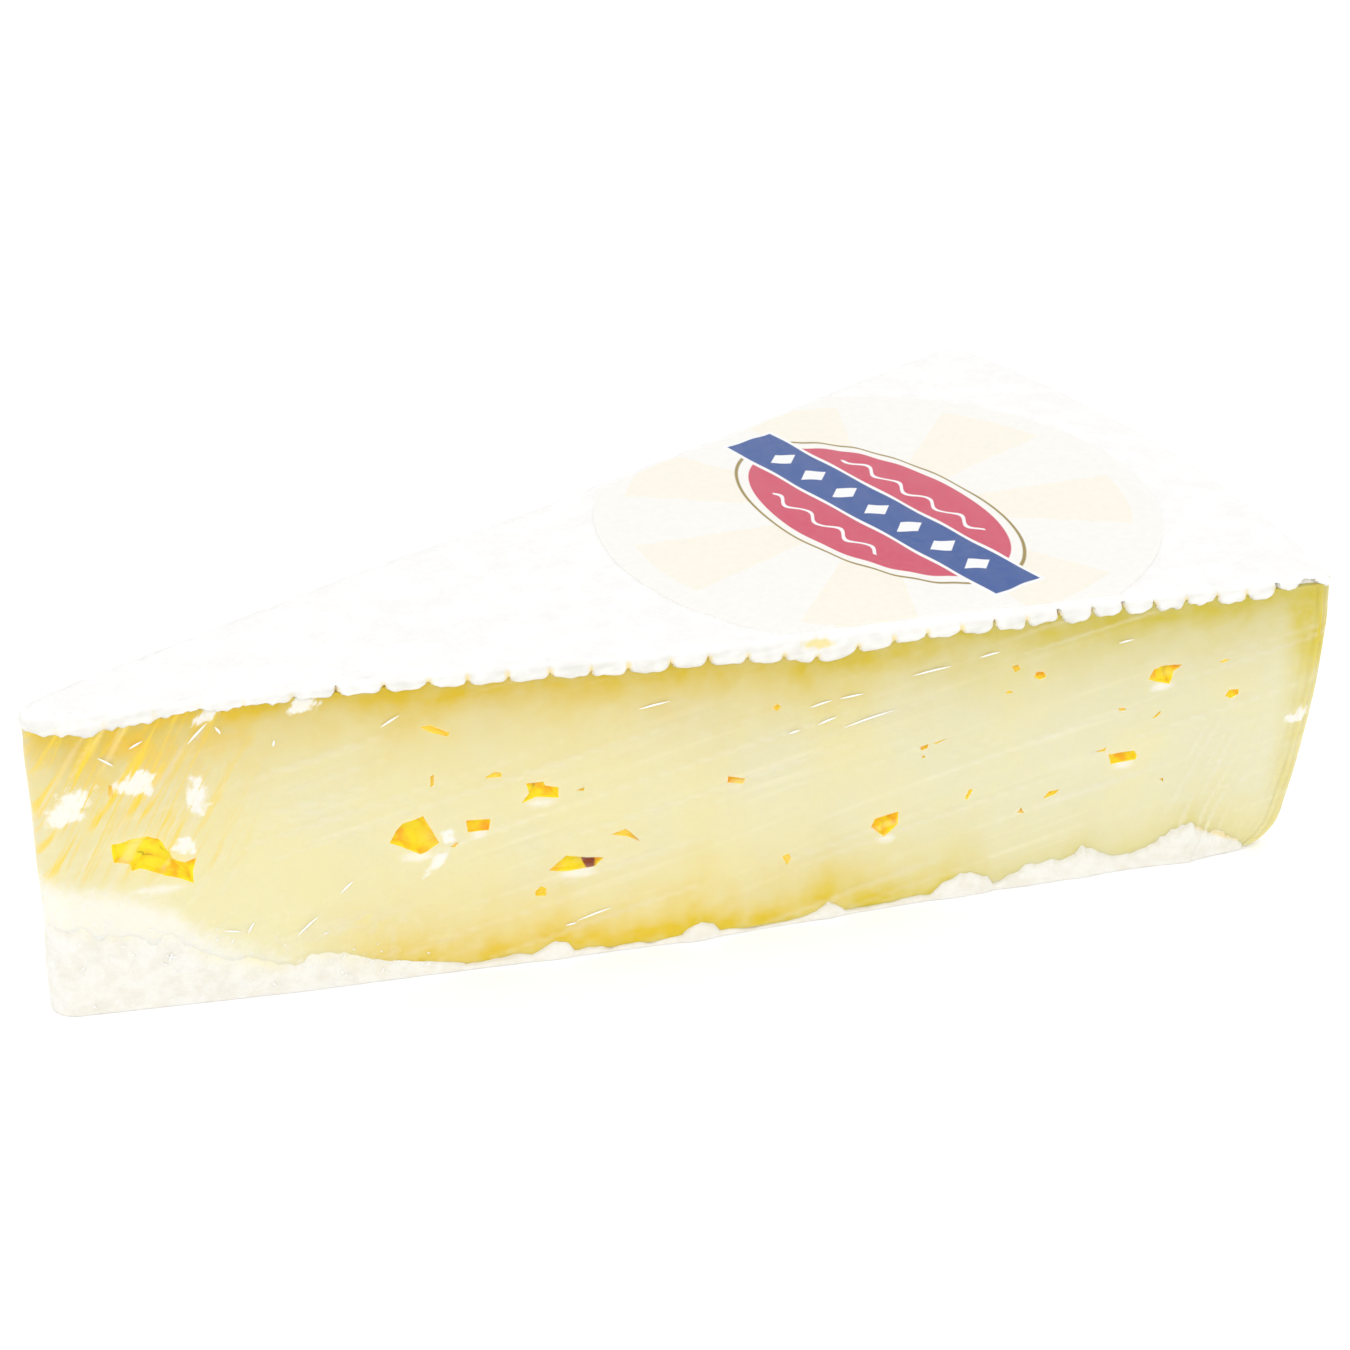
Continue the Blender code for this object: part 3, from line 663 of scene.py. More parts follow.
def back_eyes(chance):
    """Eyes for the back face, spread by chance and kept clear of each other."""
    eyes = []
    while len(eyes) < BACK_EYE_COUNT:
        place = chance.uniform(*BACK_EYE_AREA)
        if all(np.hypot(*(place - eye[:2])) > BACK_EYE_SPACING for eye in eyes):
            width = 0.5 + 2.1 * chance.random() ** 2.4
            count = int(chance.integers(4, 7))
            turns = np.linspace(0, 2 * math.pi, count, endpoint=False) + chance.uniform(-0.3, 0.3, count)
            reach = width * chance.uniform(0.75, 1.15, count)
            flat = chance.uniform(0.4, 0.85)
            corners = np.column_stack((np.cos(turns) * reach, np.sin(turns) * reach * flat))
            eyes.append((place[0], place[1], 0.5 + width * 0.9, corners))
    return eyes


def make_eye_cutters(eye_look):
    """One mesh with the cutters of every eye."""
    chance = np.random.default_rng(EYE_SEED)
    shape = bmesh.new()
    plan = walk_round(*EYE_PLAN)
    places = plan.along[:EYE_PLAN[0]]
    for side, eyes in ((FRONT, FRONT_EYES), (BACK, back_eyes(chance))):
        for along, height, depth, corners in eyes:
            points, faces = eye_cutter(corners, depth, side, (along, height), chance)
            lift = base_out(plan, height)[np.argmin(np.abs(places - along))]
            verts = [shape.verts.new(in_metres(point + face_axes(side)[1] * lift)) for point in points]
            for face in faces:
                shape.faces.new([verts[i] for i in face])
    bmesh.ops.triangulate(shape, faces=shape.faces)
    bmesh.ops.recalc_face_normals(shape, faces=shape.faces)
    mesh = mesh_of(shape, "eye_cutters")
    mesh.materials.append(eye_look)
    return add_object("eye_cutters", mesh)


def cut_eyes(piece, eye_look):
    """Cut every eye into the paste; the cut walls take the eyes' own material."""
    cutters = make_eye_cutters(eye_look)
    cut = piece.modifiers.new("eyes", "BOOLEAN")
    cut.operation = "DIFFERENCE"
    cut.solver = "MANIFOLD"
    cut.object = cutters
    cut.material_mode = "TRANSFER"
    graph = bpy.context.evaluated_depsgraph_get()
    mesh = bpy.data.meshes.new_from_object(piece.evaluated_get(graph))
    piece.modifiers.clear()
    piece.data = mesh
    bpy.data.objects.remove(cutters)


def glow(distance, layers):
    """A glow that fades with distance, in layers."""
    return sum(share * np.exp(-distance / reach) for share, reach in layers)


def paint_patches(points, along, front):
    """Where the white patches lie on the front face."""
    warp_along, warp_up = (PATCH_WARP_REACH * layered_noise(points, layers) for layers in PATCH_WARP)
    pale = np.zeros(len(points))
    for place, level, half_width, half_height, slant in PALE_PATCHES:
        turn = math.radians(slant)
        x = along - place + warp_along
        z = points[:, 2] - level + warp_up
        a = (x * math.cos(turn) + z * math.sin(turn)) / half_width
        b = (z * math.cos(turn) - x * math.sin(turn)) / half_height
        pale = np.maximum(pale, np.where(front, 1.35 - np.hypot(a, b), 0))
    return np.clip(pale, 0, 1)


def paint_by_eyes(height, along, front):
    """Which eyes of the front face are faint, and the painted highlights under the deep ones."""
    faint = np.zeros(len(along))
    halo = np.zeros(len(along))
    nearest = np.full(len(along), np.inf)
    for place, level, depth, corners in FRONT_EYES:
        reach_along, reach_up = np.max(np.abs(corners), axis=0)
        apart = np.hypot(along - place, height - level)
        faint = np.where(front & (apart < nearest), smooth((1.55 - depth) / 0.9), faint)
        nearest = np.minimum(nearest, apart)
        # A painted highlight on the paste just under each deep eye
        under = np.hypot((along - place) / (reach_along * 1.05), (height - level + reach_up + 0.3) / 0.85)
        strength = 0.75 * smooth((depth - 0.6) / 1.6)
        halo = np.maximum(halo, np.where(front, strength * smooth(1.2 - under), 0))
    return faint, halo


def paint_paste(mesh):
    """Keep where the paste is golden, orange, pale, streaked or covered by rind, with painted shade under the lip and
    painted highlights under the deep eyes.
    """
    points = points_of(mesh)
    along, side = paint_face_places(mesh, points)
    height = points[:, 2]
    front = side < 0
    into = -(points[:, 1] * side * math.cos(HALF_ANGLE) - points[:, 0] * math.sin(HALF_ANGLE))
    below_lip = np.clip(lip_level(along, points) - height, 0, None)
    above_foot = np.clip(height - foot_top(along, front), 0, None)
    tip = ramp(along, *PASTE_TIP)
    under_lip = glow(below_lip, LIP_GLOW) * (0.45 + 0.55 * ramp(along, *LIP_GOLD_ALONG))
    foot = glow(above_foot, FOOT_GLOW) * ramp(along, *FOOT_GOLD_ALONG)
    foot = foot * (1 - 0.7 * ramp(along, *FOOT_GOLD_FADE))
    heel_strip = ramp(along, FACE_END - 3.5, FACE_END + 1) * (0.5 + 0.75 * ramp(height, *HEEL_GOLD_UP))
    uneven = 1 + 0.3 * noise_at(points, 9, 1)
    at_tip = 0.12 * tip * ramp(height, *TIP_GOLD_UP)
    orange = np.exp(-np.clip(below_lip - 1.0, 0, None) / 4.0) * (0.2 + 0.6 * ramp(along, *ORANGE_ALONG))
    faint, halo = paint_by_eyes(height, along, front)
    soft_reach = 3.4 + 2.2 * smooth((24 - along) / 10)
    soft_top = smooth((soft_reach - height + smear_top(along, front)) / 6) * ramp(along, *SOFT_TOP_ALONG)
    rind = smooth((into - 1.7 + layered_noise(points, HEEL_RIND_EDGE)) / 1.2)
    paint(
        mesh,
        gold=np.clip((under_lip + foot) * uneven + heel_strip + at_tip, 0, 1),
        shade=glow(below_lip, (LIP_SHADE,)),
        orange=tip * orange,
        streak=tip * ramp(height, *STREAK_UP),
        pale=paint_patches(points, along, front),
        # halo: a painted highlight under the deep eyes, and the pale fringe of rind above the smear
        halo=np.maximum(halo, 0.9 * soft_top),
        faint=faint,
        rind=rind * ramp(along, *HEEL_RIND_ALONG),
    )


def make_paste(look, eye_look):
    """The soft paste of the wedge, with its eyes cut in."""
    plan = walk_round(*PASTE_PLAN)
    rows = [ring(plan, PASTE_LOW, base_out(plan, PASTE_LOW), inward) for inward in (1, 0.6, 0.2, 0.03)]
    for height in np.concatenate((np.linspace(0.45, 4, 9), np.linspace(4.5, PASTE_TOP, 60))):
        recess = RECESS * smooth((height - (HEIGHT - RECESS_HEIGHT)) / 3) * (1 - plan.heel)
        out = base_out(plan, height) - recess
        where = ring(plan, height, out)
        corner = np.exp(-(((plan.along - FACE_END - 1.0) / 2.2) ** 2))
        pleats = PLEAT_HEIGHT * np.sin(plan.along * PLEAT_PACE + 1.5 * noise_at(where, 7, 23)) * corner
        rows.append(ring(plan, height, out + layered_noise(where, PASTE_SOFT) + pleats))
    rows += [ring(plan, PASTE_TOP, out, inward) for inward in (0.05, 0.4, 1)]
    piece = make_piece("brie_paste", loft("brie_paste", rows), look)
    cut_eyes(piece, eye_look)
    paint_paste(piece.data)
    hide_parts("brie_wedge")


def rib_height(flat):
    """The height of the mat's ribs on the rind at these points of the plan."""
    _, away = scallops(flat @ ALONG_FRONT)
    return RIB_HEIGHT * (1 - smooth(away))


def rind_level(flat):
    """The height of the rind's top at these points of the plan."""
    where = np.column_stack((flat, np.zeros(len(flat))))
    return HEIGHT - RIND_LOW + rib_height(flat) + 0.1 * noise_at(where, 6, 44)


def paint_top_rind(mesh):
    """Keep where the top rind is notched or stained, and the painted shade on the lip's side over the faces, broken up
    into crumbly patches.
    """
    points = points_of(mesh)
    along, side = paint_face_places(mesh, points)
    _, away = scallops(points[:, :2] @ ALONG_FRONT)
    depth = HEIGHT + rise(points[:, 0]) - points[:, 2]
    above_edge = points[:, 2] - lip_level(along, points)
    notch = smooth((away - 0.8) / 0.16) * smooth((1.6 - above_edge) / 0.6) * smooth((depth - 0.5) / 0.4)
    notch = notch * ramp(along, FACE_END - 3, FACE_END - 6) * (1 - 0.7 * ramp(along, *LIP_RUMPLED))
    mark = np.hypot((along - STAIN_PLACE) / 1.8, (depth - 1.0) / 0.5) + 0.5 * noise_at(points, 0.8, 49)
    crumbly_shade = 0.5 * noise_at(points, 1.2, 50) + 0.5 * stretched_noise(along, points[:, 2], *LIP_CRUMBLY_SHADE)
    on_faces = smooth((WHEEL_RADIUS - 1.2 - np.hypot(points[:, 0], points[:, 1])) / 2)
    paint(
        mesh,
        notch=notch * (1 - smooth(2.6 - mark)),
        stain=smooth((1.1 - mark) / 0.4) * (side < 0),
        # under: painted shade, the lip's side greyer than the top, broken up by crumbly noise
        under=smooth((depth - 0.4) / 0.4) * np.clip(0.6 + 0.8 * crumbly_shade, 0, 1) * on_faces,
    )


def make_top_rind(look):
    """The white rind over the top, whose cut edge hangs over the faces in scallops."""
    plan = walk_round(*RIND_PLAN)
    shape = lip_shape(plan)
    rows = [ring(plan, HEIGHT, plan.zero - LIP_SUNK, inward, HEIGHT - LIP_REACH) for inward in (1, 0.5, 0.04)]
    for depth in np.concatenate((np.linspace(LIP_REACH, LIP_ROUND, 17), np.linspace(LIP_ROUND * 0.8, 0, 6))):
        height = HEIGHT - depth
        where = np.column_stack((plan.place, plan.zero + height))
        out = base_out(plan, height) + lip_out(plan, depth, shape) + layered_noise(where, RIND_ROUGH)
        rows.append(ring(plan, height, out, 0.0, height + 0.12 * noise_at(where, 2.2, 43) - RIND_LOW))
    edge = rows[-1][:, :2]
    for inward in np.concatenate((np.linspace(0.02, 0.14, 5), np.linspace(0.19, 1, 18))):
        flat = toward_spine(plan, edge, inward)
        level = rind_level(flat) - (1 - smooth(inward / 0.08)) * rib_height(flat)
        rows.append(np.column_stack((flat, level)))
    piece = make_piece("brie_rind_top", loft("brie_rind_top", rows), look)
    paint_top_rind(piece.data)
    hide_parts("brie_wedge")


def paint_foot_rind(mesh):
    """Keep where the smear over the tip is thin, and the flake's golden edge."""
    points = points_of(mesh)
    along, side = paint_face_places(mesh, points)
    top = smear_top(along, side < 0)
    thin = smooth((points[:, 2] - (top - 5.0)) / 5.0) * smooth((SMEAR_PLACES[-1] - along) / 6)
    in_flake = (along > FLAKE_EDGE[0][0]) & (along < FLAKE_EDGE[0][-1]) & (side < 0)
    on_edge = 1 - np.abs(points[:, 2] - np.interp(along, *FLAKE_EDGE)) / 0.5
    paint(mesh, thin=thin * smooth((top - 3) / 4), notch=smooth(on_edge * in_flake))


def make_foot_rind(look):
    """The white rind under the wedge, dragged up over the tip and in lumps along the foot."""
    plan = walk_round(*FOOT_PLAN)
    shape = foot_crest(plan)
    reach = shape[0] * 1.25 + 0.5
    rows = [ring(plan, FOOT_LOW, base_out(plan, FOOT_LOW), inward) for inward in np.linspace(1, 0.04, 10)]
    for part in np.linspace(0, 1, 22):
        height = FOOT_LOW + reach * part
        rough = layered_noise(np.column_stack((plan.place, height)), FOOT_ROUGH)
        lumpy = smooth(part / 0.1) * (1 - plan.heel)
        rows.append(ring(plan, height, base_out(plan, height) + foot_out(height, shape) + rough * lumpy))
    for inward in (0.04, 0.5, 1):
        level = height * (1 - inward) + 3 * inward
        rows.append(ring(plan, height, base_out(plan, height) - LIP_SUNK, inward, level))
    piece = make_piece("brie_rind_foot", loft("brie_rind_foot", rows), look)
    paint_foot_rind(piece.data)
    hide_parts("brie_wedge")


def low_tip(along, height):
    """1 low on the faces near the tip, where the film is crumpled."""
    return ramp(height, *LOW_TIP_UP) * ramp(along, *LOW_TIP_ALONG)


def film_wrinkles(plan, height):
    """The film's stretch lines: steep ones at the tip, long low ones to the heel, and crumples."""
    level = plan.zero + height
    along = plan.along + np.where(plan.front, 0, BACK_SHIFT)
    steep = ramp(plan.along, *FILM_TIP)
    where = np.column_stack((plan.place, level))
    crumple = np.clip(0.25 + low_tip(plan.along, height) + 0.5 * plan.heel, 0, 1)
    facets = np.abs(noise_at(where, 2.0, 61)) + 0.6 * np.abs(noise_at(where, 0.9, 62))
    lines = steep * stretched_noise(along, level, *STEEP_LINES) * 1.5
    lines = lines + (1 - steep) * (1 - plan.heel) * stretched_noise(along, level, *LONG_LINES)
    lines = lines + plan.heel * stretched_noise(along, level, *HEEL_LINES)
    return 0.07 * lines + 0.13 * crumple * facets


def stretch_over(outs, heights):
    """Let the taut film lie over the proud places, falling away from each at its own slope."""
    taut = outs.copy()
    for shift in range(1, FILM_REACH):
        fall = FILM_SLOPE * FILM_STEP * shift
        for way in (shift, -shift):
            taut = np.maximum(taut, np.roll(outs, way, axis=1) - fall)
    for order in (range(1, len(heights)), range(len(heights) - 2, -1, -1)):
        for row in order:
            other = row - order.step
            fall = FILM_SLOPE * abs(heights[row] - heights[other])
            taut[row] = np.maximum(taut[row], taut[other] - fall)
    return taut


def paint_film(mesh):
    """Keep where the film is hazy: along its stretch lines, at the crumpled tip and at the heel."""
    points = points_of(mesh)
    height = points[:, 2]
    along, side = paint_face_places(mesh, points)
    shifted = along + np.where(side < 0, 0, BACK_SHIFT)
    tip = ramp(along, *FILM_TIP)
    lines = (1 - tip) * stretched_noise(shifted, height, *LONG_HAZE)
    lines = lines + tip * stretched_noise(shifted, height, *STEEP_HAZE)
    specks = smooth((noise_at(points, 1.1, 69) - 0.25) / 0.2) * low_tip(along, height)
    at_heel = np.exp(-(((along - 143) / 4.5) ** 2)) * smooth((22 - height) / 8)
    creases = smooth((stretched_noise(shifted, height, *HEEL_HAZE) - 0.1) / 0.3) * at_heel
    haze = 0.13 * smooth((lines - 0.22) / 0.3) + 0.2 * specks + 0.2 * creases
    paint(mesh, haze=np.clip(haze, 0, 1) * (1 - smooth((height - HEIGHT + 0.3) / 0.3)))


def make_film(look):
    """The clear film, stretched over the rind's lip and the foot's lumps and pressed to the paste."""
    plan = walk_round(*FILM_PLAN)
    lip = lip_shape(plan)
    foot = foot_crest(plan)
    heights = np.concatenate((
        np.linspace(FILM_LOW, 7, 16), np.linspace(7.6, HEIGHT - 6, 44), np.linspace(HEIGHT - 5.5, HEIGHT, 16),
    ))
    outs = []
    for height in heights:
        over = np.maximum(foot_out(height, foot), lip_out(plan, HEIGHT - height, lip))
        outs.append(base_out(plan, height) + np.maximum(over, 0))
    outs = stretch_over(np.array(outs), heights)
    rows = [ring(plan, FILM_LOW, outs[0], inward) for inward in np.linspace(1, 0.05, 10)]
    for row, height in enumerate(heights):
        outs[row] += FILM_GAP + film_wrinkles(plan, height) - 0.3 * max(1 - height / 0.4, 0)
        rows.append(ring(plan, height, outs[row]))
    edge = rows[-1][:, :2]
    for inward in np.concatenate((np.linspace(0.015, 0.1, 4), np.linspace(0.15, 1, 14))):
        flat = toward_spine(plan, edge, inward)
        beside = np.hypot(flat[:, 0] - LABEL_MIDDLE + CENTRE_X, flat[:, 1]) - LABEL_RADIUS
        over_label = 1 - smooth((beside + 0.5) / 9)
        level = FILM_OVER_RIND + (FILM_TOP - FILM_OVER_RIND) * over_label
        level = level + 0.05 * noise_at(np.column_stack((flat, plan.zero)), 5, 63)
        rows.append(np.column_stack((flat, level)))
    piece = make_piece("brie_film", loft("brie_film", rows), look)
    paint_film(piece.data)
    return plan, heights, outs


def add_fold(shape, place, length, slant, width, side):
    """One pinched fold of film: a low tapered ridge that lies along the face."""
    along, height, lift = place
    direction, outward, up = face_axes(side)
    turn = math.radians(slant)
    run = direction * math.cos(turn) + up * math.sin(turn)
    cross = up * math.cos(turn) - direction * math.sin(turn)
    rings = []
    for part in np.linspace(0, 1, FOLD_SECTIONS):
        taper = max(math.sin(math.pi * part) ** 0.7, 0.06)
        bend = 0.012 * length * math.sin(math.pi * part)
        middle = direction * along + up * height + run * (part - 0.5) * length + cross * bend + outward * lift
        corners = (cross * width * taper, outward * width * 0.9 * taper, -cross * width * taper, -outward * 0.1)
        rings.append([shape.verts.new(in_metres(middle + corner)) for corner in corners])
    for here, after in zip(rings, rings[1:]):
        for i in range(4):
            j = (i + 1) % 4
            shape.faces.new((here[i], here[j], after[j], after[i]))
    shape.faces.new(rings[0][::-1])
    shape.faces.new(rings[-1])


def make_film_folds(look, film_shape):
    """The small bright folds where the film is pinched or doubled; their white is a painted highlight that stands in
    for the film's glints.
    """
    plan, heights, outs = film_shape
    chance = np.random.default_rng(SPARKLE_SEED)
    shape = bmesh.new()
    faces = plan.along[:FILM_PLAN[0]]

    def on_film(along, height, side):
        """A place on the face, with how far out the film lies there."""
        column = np.argmin(np.abs(faces - along))
        if side == BACK:
            column = len(plan.along) - NOSE_COUNT - column
        return along, height, outs[np.argmin(np.abs(heights - height))][column] + 0.02

    for along, height, length, slant in FILM_FOLDS:
        add_fold(shape, on_film(along, height, FRONT), length, slant, FILM_FOLD_WIDTH, FRONT)
    # Sparkles: tiny white folds over the smear, painted highlights for the film's glints
    for _ in range(SPARKLE_COUNT):
        side = FRONT if chance.random() < 0.55 else BACK
        along = SPARKLE_PLACES[0] + SPARKLE_PLACES[1] * chance.random() ** 1.3
        height = 1.0 + chance.random() * max(1.5, smear_top(along, side == FRONT))
        length = chance.uniform(0.2, 0.8)
        slant = chance.uniform(-70, 70)
        add_fold(shape, on_film(along, height, side), length, slant, SPARKLE_WIDTH, side)
    bmesh.ops.recalc_face_normals(shape, faces=shape.faces)
    piece = make_piece("brie_film_folds", mesh_of(shape, "brie_film_folds"), look)


def make_label(look):
    """The thin paper sticker, which follows the rind's ribs a little under the film."""
    middle = np.array((LABEL_MIDDLE - CENTRE_X, 0))
    turns = np.linspace(0, 2 * math.pi, LABEL_SIDES, endpoint=False)
    outward = np.column_stack((np.cos(turns), np.sin(turns)))
    reach = np.full(LABEL_SIDES, LABEL_RADIUS)
    for side in (FRONT, BACK):
        face_out = face_axes(side)[1][:2]
        room = -LABEL_INSET - middle @ face_out
        heading = outward @ face_out
        reach = np.where(heading > 0.01, np.minimum(reach, room / np.maximum(heading, 0.01)), reach)
    rings = []
    for level, parts in ((LABEL_THICKNESS, np.linspace(0.02, 1, 6)), (0, np.linspace(1, 0.02, 40))):
        for part in parts:
            flat = middle + outward * (reach * part)[:, None]
            rings.append(np.column_stack((flat, rind_level(flat) + LABEL_GAP - level)))
    points = np.concatenate(rings)
    faces = band_faces(LABEL_SIDES, len(rings))
    faces.append(list(range(LABEL_SIDES))[::-1])
    faces.append(list(range(len(points) - LABEL_SIDES, len(points))))
    mesh = bpy.data.meshes.new("brie_label")
    mesh.from_pydata(in_metres(points).tolist(), [], faces)
    shade(mesh)
    piece = make_piece("brie_label", mesh, look)
    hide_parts("label")


def colour(red, green, blue):
    """A colour given as it shows on a screen, from 0 to 255, in the shader's own values."""
    values = []
    for value in (red, green, blue):
        value = value / 255
        values.append(value / 12.92 if value < 0.04045 else ((value + 0.055) / 1.055) ** 2.4)
    return (*values, 1.0)


def node(tree, kind, inputs=None, **settings):
    """A shader node with its settings, its values set and its links made."""
    new = tree.nodes.new(kind)
    for name, value in settings.items():
        setattr(new, name, value)
    for name, value in (inputs or {}).items():
        if isinstance(value, bpy.types.NodeSocket):
            tree.links.new(value, new.inputs[name])
        else:
            new.inputs[name].default_value = value
    return new


def maths(tree, operation, first, second=0.0, clamp=False):
    """The result of a Math node."""
    return node(tree, "ShaderNodeMath", {0: first, 1: second}, operation=operation, use_clamp=clamp).outputs[0]


def blend(tree, share, first, second, mode="MIX"):
    """Two colours mixed."""
    inputs = {0: share, 6: first, 7: second}
    return node(tree, "ShaderNodeMix", inputs, data_type="RGBA", blend_type=mode).outputs[2]


def fade(tree, value, low, high, out_low=0.0, out_high=1.0):
    """A value mapped softly from one range to another."""
    inputs = {0: value, 1: low, 2: high, 3: out_low, 4: out_high}
    return node(tree, "ShaderNodeMapRange", inputs, interpolation_type="SMOOTHSTEP").outputs[0]


def painted(tree, name):
    """A value painted on the mesh."""
    return node(tree, "ShaderNodeAttribute", attribute_name=name).outputs["Fac"]


def face_places(tree, turn=0.0, stretch=(1, 1, 1)):
    """Places on the cut faces in millimetres, turned and then stretched."""
    places = node(tree, "ShaderNodeAttribute", attribute_name="face_place").outputs["Vector"]
    turned = node(tree, "ShaderNodeMapping", {"Vector": places, "Rotation": (0, 0, math.radians(-turn))})
    return node(tree, "ShaderNodeMapping", {"Vector": turned.outputs[0], "Scale": stretch}).outputs[0]


def places_in_mm(tree):
    """Places on the piece in millimetres."""
    where = node(tree, "ShaderNodeTexCoord").outputs["Object"]
    return node(tree, "ShaderNodeMapping", {"Vector": where, "Scale": (1000, 1000, 1000)}).outputs[0]


def grain(tree, where, scale, detail=3.0, rough=0.5):
    """Noise from 0 to 1."""
    inputs = {"Vector": where, "Scale": scale, "Detail": detail, "Roughness": rough}
    return node(tree, "ShaderNodeTexNoise", inputs).outputs["Fac"]


def bump(tree, height, strength, distance_mm, normal=None):
    """A bump of this height in millimetres."""
    inputs = {"Height": height, "Strength": strength, "Distance": distance_mm * MM}
    if normal is not None:
        inputs["Normal"] = normal
    return node(tree, "ShaderNodeBump", inputs).outputs[0]


def new_look(name):
    """A material with an empty tree and its output node."""
    look = bpy.data.materials.new(name)
    look.use_nodes = True
    look.node_tree.nodes.clear()
    output = look.node_tree.nodes.new("ShaderNodeOutputMaterial")
    return look, look.node_tree, output.inputs["Surface"]


def skin(tree, surface, base, roughness, normal, **values):
    """The Principled shader with its plain values, joined to the output."""
    shader = node(tree, "ShaderNodeBsdfPrincipled", {"Base Color": base, "Roughness": roughness, "Normal": normal})
    for name, value in values.items():
        shader.inputs[name.replace("_", " ")].default_value = value
    tree.links.new(shader.outputs[0], surface)
    return shader


def paste_look():
    """The creamy paste: pale yellow, golden near the rind, streaked with orange at the tip."""
    look, tree, surface = new_look("paste")
    where = places_in_mm(tree)
    on_face = face_places(tree)
    along = node(tree, "ShaderNodeSeparateXYZ", {0: on_face}).outputs[0]
    cooler = fade(tree, along, 60, 135)
    clouds = grain(tree, where, 0.07, 2)
    cool = fade(tree, maths(tree, "ADD", maths(tree, "MULTIPLY", cooler, 0.3), clouds), 0.4, 0.85)
    base = blend(tree, cool, PASTE_WARM, PASTE_COOL)
    lines = grain(tree, face_places(tree, 13, (0.035, 0.9, 0.04)), 1.0, 3)
    sparse = fade(tree, clouds, 0.35, 0.7, 0.08, 0.5)
    base = blend(tree, maths(tree, "MULTIPLY", fade(tree, lines, 0.5, 0.72), sparse), base, PASTE_LIGHT)
    cloudy = grain(tree, where, 0.3, 3)
    gold = maths(tree, "MULTIPLY", painted(tree, "gold"), fade(tree, cloudy, 0.25, 0.75, 0.7, 1.15))
    golden = blend(tree, cooler, PASTE_GOLD, PASTE_OLIVE)
    base = blend(tree, maths(tree, "MULTIPLY", gold, 0.95, True), base, golden)
    base = blend(tree, painted(tree, "shade"), base, (0, 0, 0, 1))
    orange = maths(tree, "MULTIPLY", painted(tree, "orange"), fade(tree, cloudy, 0.4, 0.6, 0.1, 1))
    base = blend(tree, maths(tree, "MULTIPLY", orange, 0.9, True), base, PASTE_ORANGE)
    wide = fade(tree, grain(tree, face_places(tree, 58, (0.1, 0.8, 0.04)), 1.0, 3), 0.5, 0.66)
    fine = fade(tree, grain(tree, face_places(tree, 62, (0.07, 2.4, 0.04)), 1.0, 2), 0.5, 0.7)
    streaks = maths(tree, "ADD", maths(tree, "MULTIPLY", wide, 0.8), maths(tree, "MULTIPLY", fine, 0.6))
    streaks = maths(tree, "MULTIPLY", streaks, painted(tree, "streak"))
    base = blend(tree, maths(tree, "MULTIPLY", streaks, 1.0, True), base, PASTE_STREAK)
    ragged = maths(tree, "SUBTRACT", maths(tree, "MULTIPLY", grain(tree, where, 1.0, 3, 0.65), 1.4), 0.7)
    torn = maths(tree, "SUBTRACT", maths(tree, "MULTIPLY", fine, 0.3), ragged)
    pale = fade(tree, maths(tree, "SUBTRACT", painted(tree, "pale"), torn), 0.2, 0.75, 0, 0.92)
    # The halo is a painted highlight under the deep eyes, with the pale fringe of rind above the smear
    halo = fade(tree, maths(tree, "ADD", painted(tree, "halo"), maths(tree, "MULTIPLY", ragged, 0.4)), 0.1, 0.9, 0, 0.8)
    base = blend(tree, maths(tree, "MAXIMUM", pale, halo), base, PALE_AND_HIGHLIGHT_WHITE)
    rind = painted(tree, "rind")
    base = blend(tree, rind, base, RIND_WHITE)
    normal = bump(tree, maths(tree, "ADD", ragged, maths(tree, "MULTIPLY", lines, 0.8)), 0.35, 0.16)
    roughness = fade(tree, rind, 0, 1, 0.38, 0.7)
    skin(tree, surface, base, roughness, normal, Specular_IOR_Level=0.25, Subsurface_Weight=0.4,
         Subsurface_Radius=(1.0, 0.75, 0.35), Subsurface_Scale=0.0016)
    return look


def eye_look():
    """The walls of the eyes: wet golden paste, with darker orange in patches."""
    look, tree, surface = new_look("eye_walls")
    where = places_in_mm(tree)
    base = blend(tree, fade(tree, grain(tree, where, 0.45, 2), 0.45, 0.65), EYE_YELLOW, EYE_ORANGE)
    base = blend(tree, painted(tree, "faint"), base, EYE_FAINT)
    brown = (*BROWN_EYE, FRONT * SIDES_APART)
    apart = node(tree, "ShaderNodeVectorMath", {0: face_places(tree), 1: brown}, operation="DISTANCE")
    dark = fade(tree, apart.outputs["Value"], 0.85, 0.6)
    base = blend(tree, dark, base, EYE_BROWN)
    normal = bump(tree, grain(tree, where, 1.2, 4), 0.5, 0.25)
    skin(tree, surface, base, 0.3, normal, Specular_IOR_Level=0.15, Subsurface_Weight=0.7,
         Subsurface_Radius=(1.0, 0.7, 0.15), Subsurface_Scale=0.002)
    return look


